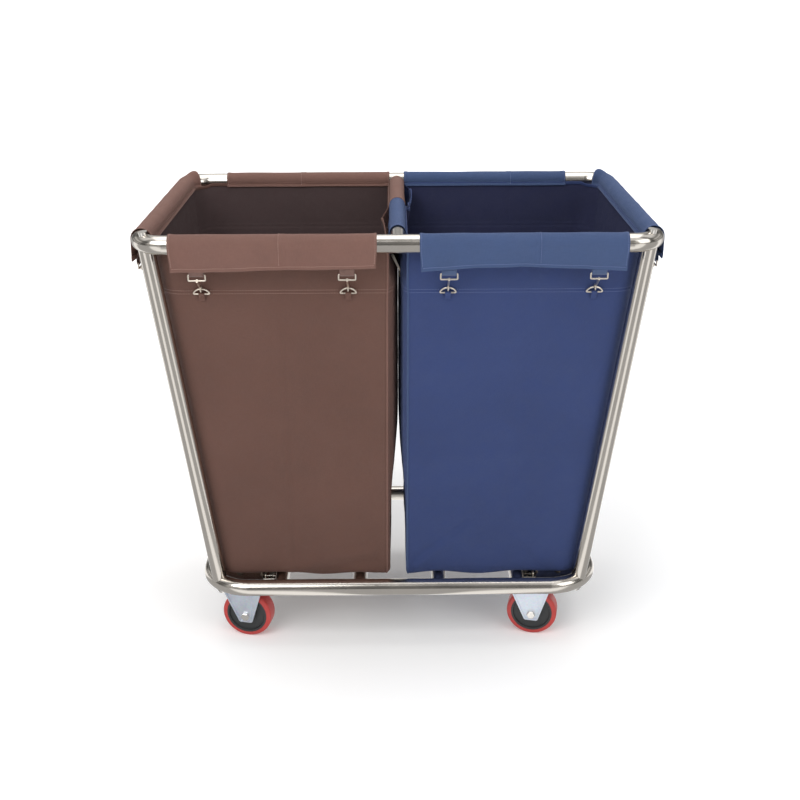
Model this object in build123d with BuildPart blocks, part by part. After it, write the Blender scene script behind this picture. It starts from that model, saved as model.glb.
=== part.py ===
from build123d import *
import os
from math import atan2, cos, degrees, radians, sin, sqrt

# Two-bag linen trolley. Millimetres, +Z up, origin on the floor below the middle of the frame.
# X runs along the length, Y along the depth, and -Y is the front.

# ---------------------------------------------------------------- driving dimensions
TOP_LENGTH = 900.0  # outside length of the top loop
TOP_DEPTH = 566.0  # outside depth of the top loop
TOP_CORNER_R = 44.0  # bend radius of its centreline
BASE_LENGTH = 779.0
BASE_DEPTH = 434.0
BASE_CORNER_R = 80.0
RISE = 697.0  # from the centre of the base loop to the centre of the top loop
LOOP_R = 16.0  # outside radius of both loops
POST_R = 14.0
CROSSBAR_R = 12.5
BASE_BAR_R = 14.0
TUBE_WALL = 1.2
BASE_BAR_PITCH = 154.0  # four bars, evenly spaced about the middle

BOLT_R = 4.0
HOLE_CLEARANCE = 0.2  # radial, bolts in drilled tube and plate
DOME_R = 7.5
DOME_H = 5.0
DOME_ROUNDING = 0.85  # share of its height
HEX_FLATS = 13.0
HEX_H = 5.3
HEX_CHAMFER = 0.8
AXLE_HEX_FLATS = 15.0
THREAD_OUT = 2.0  # bolt end past its nut
NUT_H = 6.5
WASHER_R = 9.0
WASHER_T = 1.6
PLUG_LENGTH = 20.0
PLUG_INSET = 18.0  # from the loop's centre to the near end of the plug
SLIP = 0.05  # radial clearance of a pin or plug in its bore

CORNER_PLATE_T = 3.0
CORNER_PLATE_REACH = 105.0  # from the front rail's centre towards the middle
CASTER_X = 286.0  # swivel axis from the middle
CASTER_Y = 141.0
CASTER_PLATE = (86.0, 66.0)
CASTER_PLATE_T = 3.0
CASTER_HOLES = (66.0, 46.0)
CASTER_PLATE_CORNER_R = 8.0
CASTER_YAW = -12.0  # the way the wheels stand, about +Z
TRAIL = 18.0  # wheel axle behind the swivel axis

WHEEL_R = 50.0
WHEEL_WIDTH = 32.0
TREAD_T = 9.0
TYRE_SHOULDER = 5.0
CORE_RIM_T = 4.0
HUB_R = 19.0
WEB_RECESS = 3.5  # the core is thinner between its rim and its hub
RECESS_TAPER = 20
BEARING_R = 14.0
BEARING_WIDTH = 9.0
AXLE_R = 5.0
AXLE_ROOM = 2.0  # radial, in the hub between its bearings
SIDE_GAP = 3.0  # between the wheel and each fork leg
TYRE_GAP = 5.0  # between the tyre and the fork's crown
FORK_T = 3.0
HEAD_HEIGHT = 22.0  # from under the crown to the top of the caster plate
LEG_TOP = (-44.0, 34.0)  # edges of a leg at the crown, from the axle
LEG_FOOT = 13.0  # half width of a leg at its foot
LEG_BELOW = 14.0  # foot below the axle
RIM_WIDTH = 3.0
RIM_HEIGHT = 1.8
RIB_WIDTH = 26.0
RIB_HEIGHT = 1.6
RACE_R = 29.0
RACE_WALL = 3.0
RACE_GAP = 3.0  # outer race below the caster plate
INNER_RACE_GAP = 1.0  # inner race above the crown
BALL_R = 3.0
BALL_COUNT = 16
BALL_PLAY = 0.2
KINGPIN_R = 6.0
KINGPIN_HEAD_R = 10.0
KINGPIN_HEAD_T = 3.0

CLOTH = 1.6  # canvas with its coating and hem
CLOTH_GAP = 0.3  # canvas off the metal it lies on
FLAP_DROP = 38.0  # hem below the centre of the rail
FLAP_INNER_END = 26.0  # front and back flaps: near end from the middle
FLAP_OUTER_END = 388.0
SIDE_FLAP_LENGTH = 446.0
CROSS_FLAP_FRONT = (-192.0, 28.0)  # the blue flap on the crossbar, front to back
CROSS_FLAP_REAR = (32.0, 240.0)  # the brown one
BAG_BOTTOM_X = (15.0, 360.0)  # foot of a bag, from the middle outwards
BAG_BOTTOM_HALF_Y = 174.0
BAG_TOP_CUT = 23.4  # corners next to the posts, cut at 45 degrees
BAG_BOTTOM_CUT = 28.0
BAG_INNER_CUT = 5.0  # corners next to the crossbar
BAG_SIDE_GAP = 0.1  # between the other bag's flap on the crossbar and a bag

STRAP_WIDTH = 25.0
STRAP_T = 1.6
STRAP_HIDDEN = 6.0  # part of a strap behind the hem
STRAP_LENGTH = 10.0  # from the hem to the eye's upper bar
WIRE_R = 1.4
EYE_WIDTH = 31.0  # outside
EYE_HEIGHT = 12.3
EYE_BEND = 1.5
STEM_REACH = 39.5  # from the eye's lower bar to the centre of the snap ring
SNAP_R = 5.0
SHANK_WIDTH = 2.8
SHANK_DEPTH = 5.2
RING_WIDTH = 31.0
RING_HEIGHT = 14.0
RING_BEND = 1.6
RING_LEAN = 18.5  # degrees that a D-ring leans out from the bag's wall
TAB_HEIGHT = 12.0
TAB_WIDTH = 20.0
FLAP_HOOK_X = (85.0, 335.0)  # hooks on the front and back flaps, from the middle
SIDE_HOOK_Y = (-190.0, 190.0)
CROSS_HOOK_Y = (-120.0, 160.0)  # on the blue and the brown crossbar flap
TIE_LOOP_Y = 170.0  # wire loops beside the outer base bars: the side nearest the rail
TIE_HOOK_OFFSET = 33.0  # hook's middle from the bar's centre
TIE_LOOP_WIDTH = 14.0
TIE_LOOP_BEND = 4.0

# ---------------------------------------------------------------- derived places
CROWN_BOTTOM = 2 * WHEEL_R + TYRE_GAP
CROWN_TOP = CROWN_BOTTOM + FORK_T
CASTER_HEIGHT = CROWN_BOTTOM + HEAD_HEIGHT
CORE_R = WHEEL_R - TREAD_T
BASE_Z = CASTER_HEIGHT + BASE_BAR_R
TOP_Z = BASE_Z + RISE
PLATE_TOP = CASTER_HEIGHT + CORNER_PLATE_T
TOP_HALF = (TOP_LENGTH / 2 - LOOP_R, TOP_DEPTH / 2 - LOOP_R)
BASE_HALF = (BASE_LENGTH / 2 - LOOP_R, BASE_DEPTH / 2 - LOOP_R)
OUTER_BAR_X = 1.5 * BASE_BAR_PITCH
DIAGONAL = 1 - sqrt(0.5)
LEG_INNER = WHEEL_WIDTH / 2 + SIDE_GAP
LEG_OUTER = LEG_INNER + FORK_T
BAG_BOTTOM_Z = BASE_Z + BASE_BAR_R + CLOTH_GAP
BAG_TOP_X = (CROSSBAR_R + CLOTH_GAP + CLOTH + BAG_SIDE_GAP, TOP_HALF[0] - LOOP_R - CLOTH_GAP)
BAG_TOP_HALF_Y = TOP_HALF[1] - LOOP_R - CLOTH_GAP
BAG_HEIGHT = TOP_Z - BAG_BOTTOM_Z
BARREL_R = WIRE_R + SLIP + STRAP_T
EYE_DEPTH = EYE_HEIGHT - 2 * WIRE_R
RING_DEPTH = RING_HEIGHT - 2 * WIRE_R
CORNERS = {"front_left": (-1, -1), "front_right": (1, -1), "rear_left": (-1, 1), "rear_right": (1, 1)}
SIDES = {"brown": -1, "blue": 1}


def save(part, name):
    """Label one finished node and write it."""
    part.label = name
    export_step(part, f"parts/{name}.step")


def corner_middle(half, bend, sx, sy):
    """Where a loop's centreline crosses the middle of one of its bends."""
    return (sx * (half[0] - bend * DIAGONAL), sy * (half[1] - bend * DIAGONAL))


def post_axis(sx, sy):
    """The plane at a post's foot whose normal runs up the post, and the post's length."""
    foot = Vector(*corner_middle(BASE_HALF, BASE_CORNER_R, sx, sy), BASE_Z)
    head = Vector(*corner_middle(TOP_HALF, TOP_CORNER_R, sx, sy), TOP_Z)
    return Plane(origin=foot, x_dir=(0, 1, 0), z_dir=(head - foot)), (head - foot).length


def loop_rod(half, bend, height, radius):
    """A solid round bar bent into a rounded rectangle."""
    with BuildSketch(Plane.XY.offset(height)) as outline:
        RectangleRounded(2 * half[0], 2 * half[1], bend)
    path = outline.sketch.face().outer_wire()
    with BuildPart() as rod:
        with BuildSketch(Plane(origin=path @ 0, z_dir=path % 0)):
            Circle(radius)
        sweep(path=path, transition=Transition.RIGHT)
    return rod.part


def bolt_core(sx, sy, radius):
    """The space that the corner bolts take along one post's axis, through both loops."""
    foot, length = post_axis(sx, sy)
    with BuildPart() as core:
        with BuildSketch(foot.offset(-2 * LOOP_R)):
            Circle(radius)
        extrude(amount=length + 4 * LOOP_R)
    return core.part


def bar_rod(x, half_y, height, radius):
    """A solid bar from front to back between the centrelines of a loop."""
    with BuildPart() as rod:
        with BuildSketch(Plane(origin=(x, -half_y, height), z_dir=(0, 1, 0))):
            Circle(radius)
        extrude(amount=2 * half_y)
    return rod.part


top_rod = loop_rod(TOP_HALF, TOP_CORNER_R, TOP_Z, LOOP_R)
base_rod = loop_rod(BASE_HALF, BASE_CORNER_R, BASE_Z, LOOP_R)
bolt_cores = [bolt_core(sx, sy, BOLT_R + HOLE_CLEARANCE) for sx, sy in CORNERS.values()]

os.makedirs("parts", exist_ok=True)

# ---------------------------------------------------------------- frame
with BuildPart() as top_loop:
    add(top_rod)
    add(loop_rod(TOP_HALF, TOP_CORNER_R, TOP_Z, LOOP_R - TUBE_WALL), mode=Mode.SUBTRACT)
    add(bolt_cores, mode=Mode.SUBTRACT)
save(top_loop.part, "top_loop")

with BuildPart() as bottom_loop:
    add(base_rod)
    add(loop_rod(BASE_HALF, BASE_CORNER_R, BASE_Z, LOOP_R - TUBE_WALL), mode=Mode.SUBTRACT)
    add(bolt_cores, mode=Mode.SUBTRACT)
save(bottom_loop.part, "bottom_loop")

with BuildPart() as centre_crossbar:
    add(bar_rod(0, TOP_HALF[1], TOP_Z, CROSSBAR_R))
    add(bar_rod(0, TOP_HALF[1], TOP_Z, CROSSBAR_R - TUBE_WALL), mode=Mode.SUBTRACT)
    add(top_rod, mode=Mode.SUBTRACT)
save(centre_crossbar.part, "centre_crossbar")

for corner, (sx, sy) in CORNERS.items():
    foot, length = post_axis(sx, sy)
    with BuildPart() as post:
        with BuildSketch(foot):
            Circle(POST_R)
            Circle(POST_R - TUBE_WALL, mode=Mode.SUBTRACT)
        extrude(amount=length)
        add(top_rod, mode=Mode.SUBTRACT)
        add(base_rod, mode=Mode.SUBTRACT)
    save(post.part, f"post_{corner}")

base_bars = [(i - 1.5) * BASE_BAR_PITCH for i in range(4)]
for number, x in enumerate(base_bars, 1):
    with BuildPart() as base_bar:
        add(bar_rod(x, BASE_HALF[1], BASE_Z, BASE_BAR_R))
        add(bar_rod(x, BASE_HALF[1], BASE_Z, BASE_BAR_R - TUBE_WALL), mode=Mode.SUBTRACT)
        add(base_rod, mode=Mode.SUBTRACT)
    save(base_bar.part, f"base_bar_{number}")

with BuildPart() as post_plugs:
    for sx, sy in CORNERS.values():
        foot, length = post_axis(sx, sy)
        for start in (PLUG_INSET, length - PLUG_INSET - PLUG_LENGTH):
            with BuildSketch(foot.offset(start)):
                Circle(POST_R - TUBE_WALL - SLIP)
                Circle(BOLT_R + SLIP, mode=Mode.SUBTRACT)
            extrude(amount=PLUG_LENGTH)
save(post_plugs.part, "post_plugs")

with BuildPart() as top_bolts:
    for sx, sy in CORNERS.values():
        foot, length = post_axis(sx, sy)
        with BuildSketch(foot.offset(length + LOOP_R - 2 * WASHER_T)):
            Circle(DOME_R)
        extrude(amount=DOME_H + 2 * WASHER_T)
    fillet(top_bolts.edges().group_by(Axis.Z)[-1], DOME_H * DOME_ROUNDING)
    add(top_rod, mode=Mode.SUBTRACT)
    for sx, sy in CORNERS.values():
        foot, length = post_axis(sx, sy)
        with BuildSketch(foot.offset(length - PLUG_INSET - PLUG_LENGTH)):
            Circle(BOLT_R)
        extrude(amount=PLUG_INSET + PLUG_LENGTH + LOOP_R + DOME_H / 2)
save(top_bolts.part, "top_bolts")

with BuildPart() as bottom_washers:
    for sx, sy in CORNERS.values():
        with BuildSketch(post_axis(sx, sy)[0].offset(-LOOP_R - WASHER_T)):
            Circle(WASHER_R)
            Circle(BOLT_R + HOLE_CLEARANCE, mode=Mode.SUBTRACT)
        extrude(amount=WASHER_T)
    add(base_rod, mode=Mode.SUBTRACT)
save(bottom_washers.part, "bottom_washers")

with BuildPart() as bottom_bolts:
    for sx, sy in CORNERS.values():
        foot = post_axis(sx, sy)[0]
        with BuildSketch(foot.offset(-LOOP_R - WASHER_T - HEX_H)):
            RegularPolygon(HEX_FLATS / 2, 6, major_radius=False)
        extrude(amount=HEX_H)
        with BuildSketch(foot.offset(-LOOP_R - WASHER_T - HEX_H / 2)):
            Circle(BOLT_R)
        extrude(amount=HEX_H / 2 + WASHER_T + LOOP_R + PLUG_INSET + PLUG_LENGTH)
save(bottom_bolts.part, "bottom_bolts")

# ---------------------------------------------------------------- caster mounting
for corner, (sx, sy) in CORNERS.items():
    with BuildPart() as corner_plate:
        with BuildSketch(Plane.XY.offset(CASTER_HEIGHT)):
            with BuildLine():
                Polyline(
                    (sx * OUTER_BAR_X, sy * BASE_HALF[1]),
                    (sx * BASE_HALF[0], sy * BASE_HALF[1]),
                    (sx * BASE_HALF[0], sy * (BASE_HALF[1] - CORNER_PLATE_REACH)),
                    (sx * OUTER_BAR_X, sy * (BASE_HALF[1] - CORNER_PLATE_REACH)),
                    close=True,
                )
            make_face()
            RectangleRounded(2 * BASE_HALF[0], 2 * BASE_HALF[1], BASE_CORNER_R, mode=Mode.INTERSECT)
            with Locations((sx * CASTER_X, sy * CASTER_Y)):
                with GridLocations(*CASTER_HOLES, 2, 2):
                    Circle(BOLT_R + HOLE_CLEARANCE, mode=Mode.SUBTRACT)
        extrude(amount=CORNER_PLATE_T)
        with BuildSketch(post_axis(sx, sy)[0].offset(-LOOP_R - WASHER_T)):
            Circle(WASHER_R + HOLE_CLEARANCE)
        extrude(amount=WASHER_T, mode=Mode.SUBTRACT)
        add(base_rod, mode=Mode.SUBTRACT)
        add(bar_rod(sx * OUTER_BAR_X, BASE_HALF[1], BASE_Z, BASE_BAR_R), mode=Mode.SUBTRACT)
    solid = corner_plate.part.solids().sort_by(SortBy.VOLUME)[-1]
    save(Part() + solid, f"corner_plate_{corner}")

caster_places = [Location((sx * CASTER_X, sy * CASTER_Y, 0)) for sx, sy in CORNERS.values()]
race_top = CASTER_HEIGHT - CASTER_PLATE_T
inner_race_r = RACE_R - RACE_WALL - 2 * (BALL_R + BALL_PLAY)

for corner, place in zip(CORNERS, caster_places):
    centre = place.position
    with BuildPart() as caster_plate:
        with BuildSketch(Plane(origin=(centre.X, centre.Y, race_top))):
            RectangleRounded(*CASTER_PLATE, CASTER_PLATE_CORNER_R)
            with GridLocations(*CASTER_HOLES, 2, 2):
                Circle(BOLT_R + HOLE_CLEARANCE, mode=Mode.SUBTRACT)
        extrude(amount=CASTER_PLATE_T)
        with BuildSketch(Plane(origin=(centre.X, centre.Y, CROWN_TOP + INNER_RACE_GAP))):
            Circle(inner_race_r)
        extrude(until=Until.NEXT)
        with BuildSketch(Plane(origin=(centre.X, centre.Y, CROWN_TOP))):
            Circle(KINGPIN_R + SLIP)
        extrude(amount=CASTER_HEIGHT - CROWN_TOP, mode=Mode.SUBTRACT)
    save(caster_plate.part, f"caster_plate_{corner}")

with BuildPart() as kingpins:
    for place in caster_places:
        centre = place.position
        head_bottom = CROWN_BOTTOM - SLIP - KINGPIN_HEAD_T
        with BuildSketch(Plane(origin=(centre.X, centre.Y, head_bottom))):
            Circle(KINGPIN_HEAD_R)
        extrude(amount=KINGPIN_HEAD_T)
        with BuildSketch(Plane(origin=(centre.X, centre.Y, head_bottom))):
            Circle(KINGPIN_R)
        extrude(amount=CASTER_HEIGHT - head_bottom)
save(kingpins.part, "kingpins")

with BuildPart() as swivel_balls:
    for place in caster_places:
        centre = place.position
        with Locations((centre.X, centre.Y, CROWN_TOP + INNER_RACE_GAP + BALL_R)):
            with PolarLocations(inner_race_r + BALL_R + BALL_PLAY, BALL_COUNT):
                Sphere(BALL_R)
save(swivel_balls.part, "swivel_balls")

hole_places = [
    (sx * CASTER_X + hx * CASTER_HOLES[0] / 2, sy * CASTER_Y + hy * CASTER_HOLES[1] / 2)
    for sx, sy in CORNERS.values()
    for hx in (-1, 1)
    for hy in (-1, 1)
]
with BuildPart() as caster_bolts:
    with BuildSketch(Plane.XY.offset(race_top - HEX_H)):
        with Locations(hole_places):
            RegularPolygon(HEX_FLATS / 2, 6, major_radius=False)
    extrude(amount=HEX_H)
    with BuildSketch(Plane.XY.offset(race_top - HEX_H)):
        with Locations(hole_places):
            Circle(BOLT_R)
    extrude(amount=HEX_H + CASTER_PLATE_T + CORNER_PLATE_T + NUT_H + THREAD_OUT)
save(caster_bolts.part, "caster_bolts")

with BuildPart() as caster_nuts:
    with BuildSketch(Plane.XY.offset(PLATE_TOP)):
        with Locations(hole_places):
            RegularPolygon(HEX_FLATS / 2, 6, major_radius=False)
            Circle(BOLT_R + SLIP, mode=Mode.SUBTRACT)
    extrude(amount=NUT_H)
save(caster_nuts.part, "caster_nuts")


# ---------------------------------------------------------------- swivelling forks and wheels
# Each is made about its swivel axis with the axle at x = -TRAIL, then turned and placed.
def axle_plane(y):
    """The plane across the wheel at a distance along the axle, centred on the axle."""
    return Plane(origin=(-TRAIL, y, WHEEL_R), x_dir=(1, 0, 0), z_dir=(0, -1, 0))


def leg_face(plane, edge_only=False):
    """One leg's outline with a rounded foot, or only the turned edge that runs round it."""
    with BuildSketch(plane) as face:
        with BuildLine():
            Polyline(
                (LEG_TOP[0], CROWN_BOTTOM - WHEEL_R),
                (LEG_TOP[1], CROWN_BOTTOM - WHEEL_R),
                (LEG_FOOT, -LEG_BELOW),
                (-LEG_FOOT, -LEG_BELOW),
                close=True,
            )
        make_face()
        fillet(face.vertices().group_by(Axis.Y)[0], RIM_WIDTH * 1.5)
        if edge_only:
            offset(amount=-RIM_WIDTH, kind=Kind.INTERSECTION, mode=Mode.SUBTRACT)
    return face.sketch


def fork_shape():
    outer_planes = {side: axle_plane(side * LEG_OUTER) for side in (-1, 1)}
    legs = {side: leg_face(plane) for side, plane in outer_planes.items()}
    rims = {side: leg_face(plane, edge_only=True) for side, plane in outer_planes.items()}
    rib_height = CROWN_BOTTOM - WHEEL_R
    with BuildPart() as fork:
        with BuildSketch(Plane.XY.offset(CROWN_BOTTOM)):
            with Locations(((LEG_TOP[0] + LEG_TOP[1]) / 2 - TRAIL, 0)):
                Rectangle(LEG_TOP[1] - LEG_TOP[0], 2 * LEG_OUTER)
            Circle(RACE_R)
        extrude(amount=FORK_T)
        for side, plane in outer_planes.items():
            extrude(legs[side], amount=side * FORK_T)
            extrude(rims[side], amount=-side * RIM_HEIGHT)
            with BuildSketch(plane):
                with Locations((0, rib_height / 2)):
                    Rectangle(RIB_WIDTH, rib_height)
                Circle(LEG_FOOT - RIM_WIDTH / 2)
            extrude(amount=-side * RIB_HEIGHT)
        with BuildSketch(Plane.XY.offset(CROWN_TOP)):
            Circle(RACE_R)
            Circle(RACE_R - RACE_WALL, mode=Mode.SUBTRACT)
        extrude(amount=race_top - CROWN_TOP - RACE_GAP)
        with BuildSketch(Plane.XY.offset(CROWN_BOTTOM)):
            Circle(KINGPIN_R + SLIP)
        extrude(amount=FORK_T, mode=Mode.SUBTRACT)
        with BuildSketch(axle_plane(2 * LEG_OUTER)):
            Circle(AXLE_R + SLIP)
        extrude(amount=4 * LEG_OUTER, mode=Mode.SUBTRACT)
    return fork.part


def axle_bolt_shape():
    """The bolt from the front face: hex head, shank through both legs and the wheel."""
    head_face = LEG_OUTER + RIB_HEIGHT
    with BuildPart() as bolt:
        with BuildSketch(axle_plane(-head_face)):
            RegularPolygon(AXLE_HEX_FLATS / 2, 6, major_radius=False)
        extrude(amount=HEX_H)
        chamfer(bolt.faces().sort_by(Axis.Y)[0].edges(), HEX_CHAMFER)
        with BuildSketch(axle_plane(-head_face)):
            Circle(AXLE_R)
        extrude(amount=-(2 * head_face + NUT_H + THREAD_OUT))
    return bolt.part


def axle_nut_shape():
    with BuildPart() as nut:
        with BuildSketch(axle_plane(LEG_OUTER + RIB_HEIGHT)):
            RegularPolygon(AXLE_HEX_FLATS / 2, 6, major_radius=False)
            Circle(AXLE_R + SLIP, mode=Mode.SUBTRACT)
        extrude(amount=-NUT_H)
    return nut.part


def core_shape():
    """A moulded centre: rim, thin web on the middle plane, hub with two bearing seats."""
    with BuildPart() as core:
        with BuildSketch(axle_plane(WHEEL_WIDTH / 2)):
            Circle(CORE_R)
            Circle(BEARING_R, mode=Mode.SUBTRACT)
        extrude(amount=WHEEL_WIDTH)
        for side in (-1, 1):
            with BuildSketch(axle_plane(side * WHEEL_WIDTH / 2)):
                Circle(CORE_R - CORE_RIM_T)
                Circle(HUB_R, mode=Mode.SUBTRACT)
            extrude(amount=side * WEB_RECESS, taper=RECESS_TAPER, mode=Mode.SUBTRACT)
        with BuildSketch(axle_plane(WHEEL_WIDTH / 2 - BEARING_WIDTH)):
            Circle(BEARING_R)
            Circle(AXLE_R + AXLE_ROOM, mode=Mode.SUBTRACT)
        extrude(amount=WHEEL_WIDTH - 2 * BEARING_WIDTH)
    return core.part


def tread_shape():
    """A cast ring with rounded shoulders."""
    with BuildPart() as tread:
        with BuildSketch(axle_plane(WHEEL_WIDTH / 2)):
            Circle(WHEEL_R)
            Circle(CORE_R, mode=Mode.SUBTRACT)
        extrude(amount=WHEEL_WIDTH)
        fillet(tread.edges().filter_by(GeomType.CIRCLE).sort_by(SortBy.RADIUS)[-2:], TYRE_SHOULDER)
    return tread.part


def bearing_shape():
    """The two ball bearings, each as its outer envelope."""
    with BuildPart() as bearings:
        for start in (WHEEL_WIDTH / 2, -WHEEL_WIDTH / 2 + BEARING_WIDTH):
            with BuildSketch(axle_plane(start)):
                Circle(BEARING_R)
                Circle(AXLE_R + SLIP, mode=Mode.SUBTRACT)
            extrude(amount=BEARING_WIDTH)
    return bearings.part


caster_shapes = {
    "fork": fork_shape(),
    "axle_bolt": axle_bolt_shape(),
    "axle_nut": axle_nut_shape(),
    "wheel_core": core_shape(),
    "wheel_tread": tread_shape(),
    "wheel_bearings": bearing_shape(),
}
for corner, place in zip(CORNERS, caster_places):
    for name, shape in caster_shapes.items():
        save((place * Rotation(0, 0, CASTER_YAW)) * shape, f"{name}_{corner}")


# ---------------------------------------------------------------- bags
def bag_outline(side, z, inset):
    """The bag's outline at one height, drawn in by inset: a rectangle with its corners cut."""
    share = (z - BAG_BOTTOM_Z) / BAG_HEIGHT
    near, far = [foot + share * (mouth - foot) for foot, mouth in zip(BAG_BOTTOM_X, BAG_TOP_X)]
    half_y = BAG_BOTTOM_HALF_Y + share * (BAG_TOP_HALF_Y - BAG_BOTTOM_HALF_Y) - inset
    cut_shrink = (2 - sqrt(2)) * inset
    far_cut = BAG_BOTTOM_CUT + share * (BAG_TOP_CUT - BAG_BOTTOM_CUT) - cut_shrink
    near_cut = BAG_INNER_CUT - cut_shrink
    near += inset
    far -= inset
    front = [(near, near_cut - half_y), (near + near_cut, -half_y)]
    front += [(far - far_cut, -half_y), (far, far_cut - half_y)]
    return [(side * x, y) for x, y in front + [(x, -y) for x, y in reversed(front)]]


def bag_panels(side):
    """The bag as its sewn panels: a floor, four walls and four narrow corner panels."""
    with BuildPart() as floor_panel:
        for z in (BAG_BOTTOM_Z, BAG_BOTTOM_Z + CLOTH):
            with BuildSketch(Plane.XY.offset(z)):
                Polygon(*bag_outline(side, z, CLOTH), align=None)
        loft(ruled=True)
    panels = [floor_panel.part]
    for k in range(8):
        with BuildPart() as panel:
            for z in (BAG_BOTTOM_Z, TOP_Z):
                outer, inner = bag_outline(side, z, 0), bag_outline(side, z, CLOTH)
                with BuildSketch(Plane.XY.offset(z)):
                    Polygon(outer[k], outer[k - 1], inner[k - 1], inner[k], align=None)
            loft(ruled=True)
        panels.append(panel.part)
    return panels


def flap_shape(radius, length):
    """Canvas folded over a rail that runs along Y, with the hem on the +X side."""
    inner = radius + CLOTH_GAP
    with BuildPart() as flap:
        with BuildSketch(Plane.XZ.offset(-length / 2)):
            Circle(inner + CLOTH)
            Circle(inner, mode=Mode.SUBTRACT)
            with Locations((0, -2 * radius)):
                Rectangle(4 * radius, 4 * radius, mode=Mode.SUBTRACT)
            with Locations((inner + CLOTH / 2, -FLAP_DROP / 2)):
                Rectangle(CLOTH, FLAP_DROP)
        extrude(amount=length)
    return flap.part


def wire_loop(outline):
    """Round wire bent along the outline of a face."""
    path = outline.outer_wire()
    with BuildPart() as wire:
        with BuildSketch(Plane(origin=path @ 0.25, z_dir=path % 0.25)):
            Circle(WIRE_R)
        sweep(path=path, transition=Transition.RIGHT)
    return wire.part


# A hook is an eye and a stem. Each is made with the middle of its near end at the origin,
# reaching along +X, and the eye has its width along Y.
def eye_shape():
    with BuildSketch() as eye:
        with Locations((EYE_DEPTH / 2, 0)):
            RectangleRounded(EYE_DEPTH, EYE_WIDTH - 2 * WIRE_R, EYE_BEND)
    return wire_loop(eye.sketch.face())


def stem_shape():
    """The shank from the eye's lower bar, with the snap ring at its end."""
    with BuildSketch(Plane.XZ) as ring:
        with Locations((STEM_REACH, 0)):
            Circle(SNAP_R)
    with BuildPart() as stem:
        add(wire_loop(ring.sketch.face()))
        with BuildSketch(Plane.XZ.offset(-SHANK_WIDTH / 2)):
            with BuildLine():
                Polyline(
                    (0, -SHANK_DEPTH / 2),
                    (STEM_REACH - SNAP_R, -WIRE_R),
                    (STEM_REACH - SNAP_R, WIRE_R),
                    (0, SHANK_DEPTH / 2),
                    close=True,
                )
            make_face()
        extrude(amount=SHANK_WIDTH)
    return stem.part


# A D-ring is made with the middle of its straight bar at the origin, standing up along +Z, and
# with its width along Y.
def d_ring_shape():
    half = RING_WIDTH / 2 - WIRE_R
    with BuildSketch(Plane.YZ) as outline:
        with BuildLine():
            Line((-half, 0), (half, 0))
            ThreePointArc((half, 0), (0, RING_DEPTH), (-half, 0))
        make_face()
        fillet(outline.vertices(), RING_BEND)
    return wire_loop(outline.sketch.face())


def strap_shape(length):
    """Webbing that hangs down from the origin, flush on its +X side, with a barrel at its end."""
    with BuildPart() as strap:
        with Locations((-STRAP_T / 2, 0, -length / 2)):
            Box(STRAP_T, STRAP_WIDTH, length)
        with Locations((-BARREL_R, 0, -length)):
            Cylinder(BARREL_R, STRAP_WIDTH, rotation=(90, 0, 0))
            Cylinder(WIRE_R + SLIP, STRAP_WIDTH, rotation=(90, 0, 0), mode=Mode.SUBTRACT)
    return strap.part


def tab_shape():
    """The sewn tab that holds a D-ring's bar, flat on the -X side, below the origin."""
    with BuildPart() as tab:
        with Locations((-BARREL_R / 2, 0, -TAB_HEIGHT / 2)):
            Box(BARREL_R, TAB_WIDTH, TAB_HEIGHT)
        Cylinder(BARREL_R, TAB_WIDTH, rotation=(90, 0, 0))
        Cylinder(WIRE_R + SLIP, TAB_WIDTH, rotation=(90, 0, 0), mode=Mode.SUBTRACT)
    return tab.part


eye = eye_shape()
stem = stem_shape()
d_ring = d_ring_shape()
tab = tab_shape()
strap = strap_shape(STRAP_HIDDEN + STRAP_LENGTH)


def flap_hook(place, radius, wall, lean):
    """The strap, hook, D-ring and tab of one flap, in the rail's own frame and then placed.

    The hem hangs on the +X side of the rail and the bag's wall is at x = -wall there, leaning
    in by lean for each millimetre down.
    """
    strap_x = radius + CLOTH_GAP - SLIP
    eye_x = strap_x - BARREL_R
    eye_z = -FLAP_DROP - STRAP_LENGTH
    low_z = eye_z - EYE_DEPTH
    wall_lean = degrees(atan2(lean, 1))
    rise = RING_DEPTH * cos(radians(wall_lean + RING_LEAN))
    run = RING_DEPTH * sin(radians(wall_lean + RING_LEAN))
    stand_off = BARREL_R + SLIP + CLOTH_GAP / 2
    # The D-ring's bar sits where the stem, at its own length, just reaches the ring's crown.
    a = eye_x + wall - stand_off - run
    b = low_z - rise
    m = a * lean + b
    ring_z = (m - sqrt(m * m - (1 + lean * lean) * (a * a + b * b - STEM_REACH**2))) / (1 + lean * lean)
    ring_x = -wall + lean * ring_z + stand_off
    aim = degrees(atan2(low_z - ring_z - rise, eye_x - ring_x - run))
    return {
        "strap": place * Location((strap_x, 0, STRAP_HIDDEN - FLAP_DROP)) * strap,
        "eye": place * Location((eye_x, 0, eye_z), (0, 90, 0)) * eye,
        "stem": place * Location((eye_x, 0, low_z), (0, 180 - aim, 0)) * stem,
        "ring": place * Location((ring_x, 0, ring_z), (0, wall_lean + RING_LEAN, 0)) * d_ring,
        "tab": place * Location((ring_x, 0, ring_z), (0, wall_lean, 0)) * tab,
    }


def rail(x, y, turn):
    """A place on a top rail, turned so that local +X points to the hem's side."""
    return Location((x, y, TOP_Z), (0, 0, turn))


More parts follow.
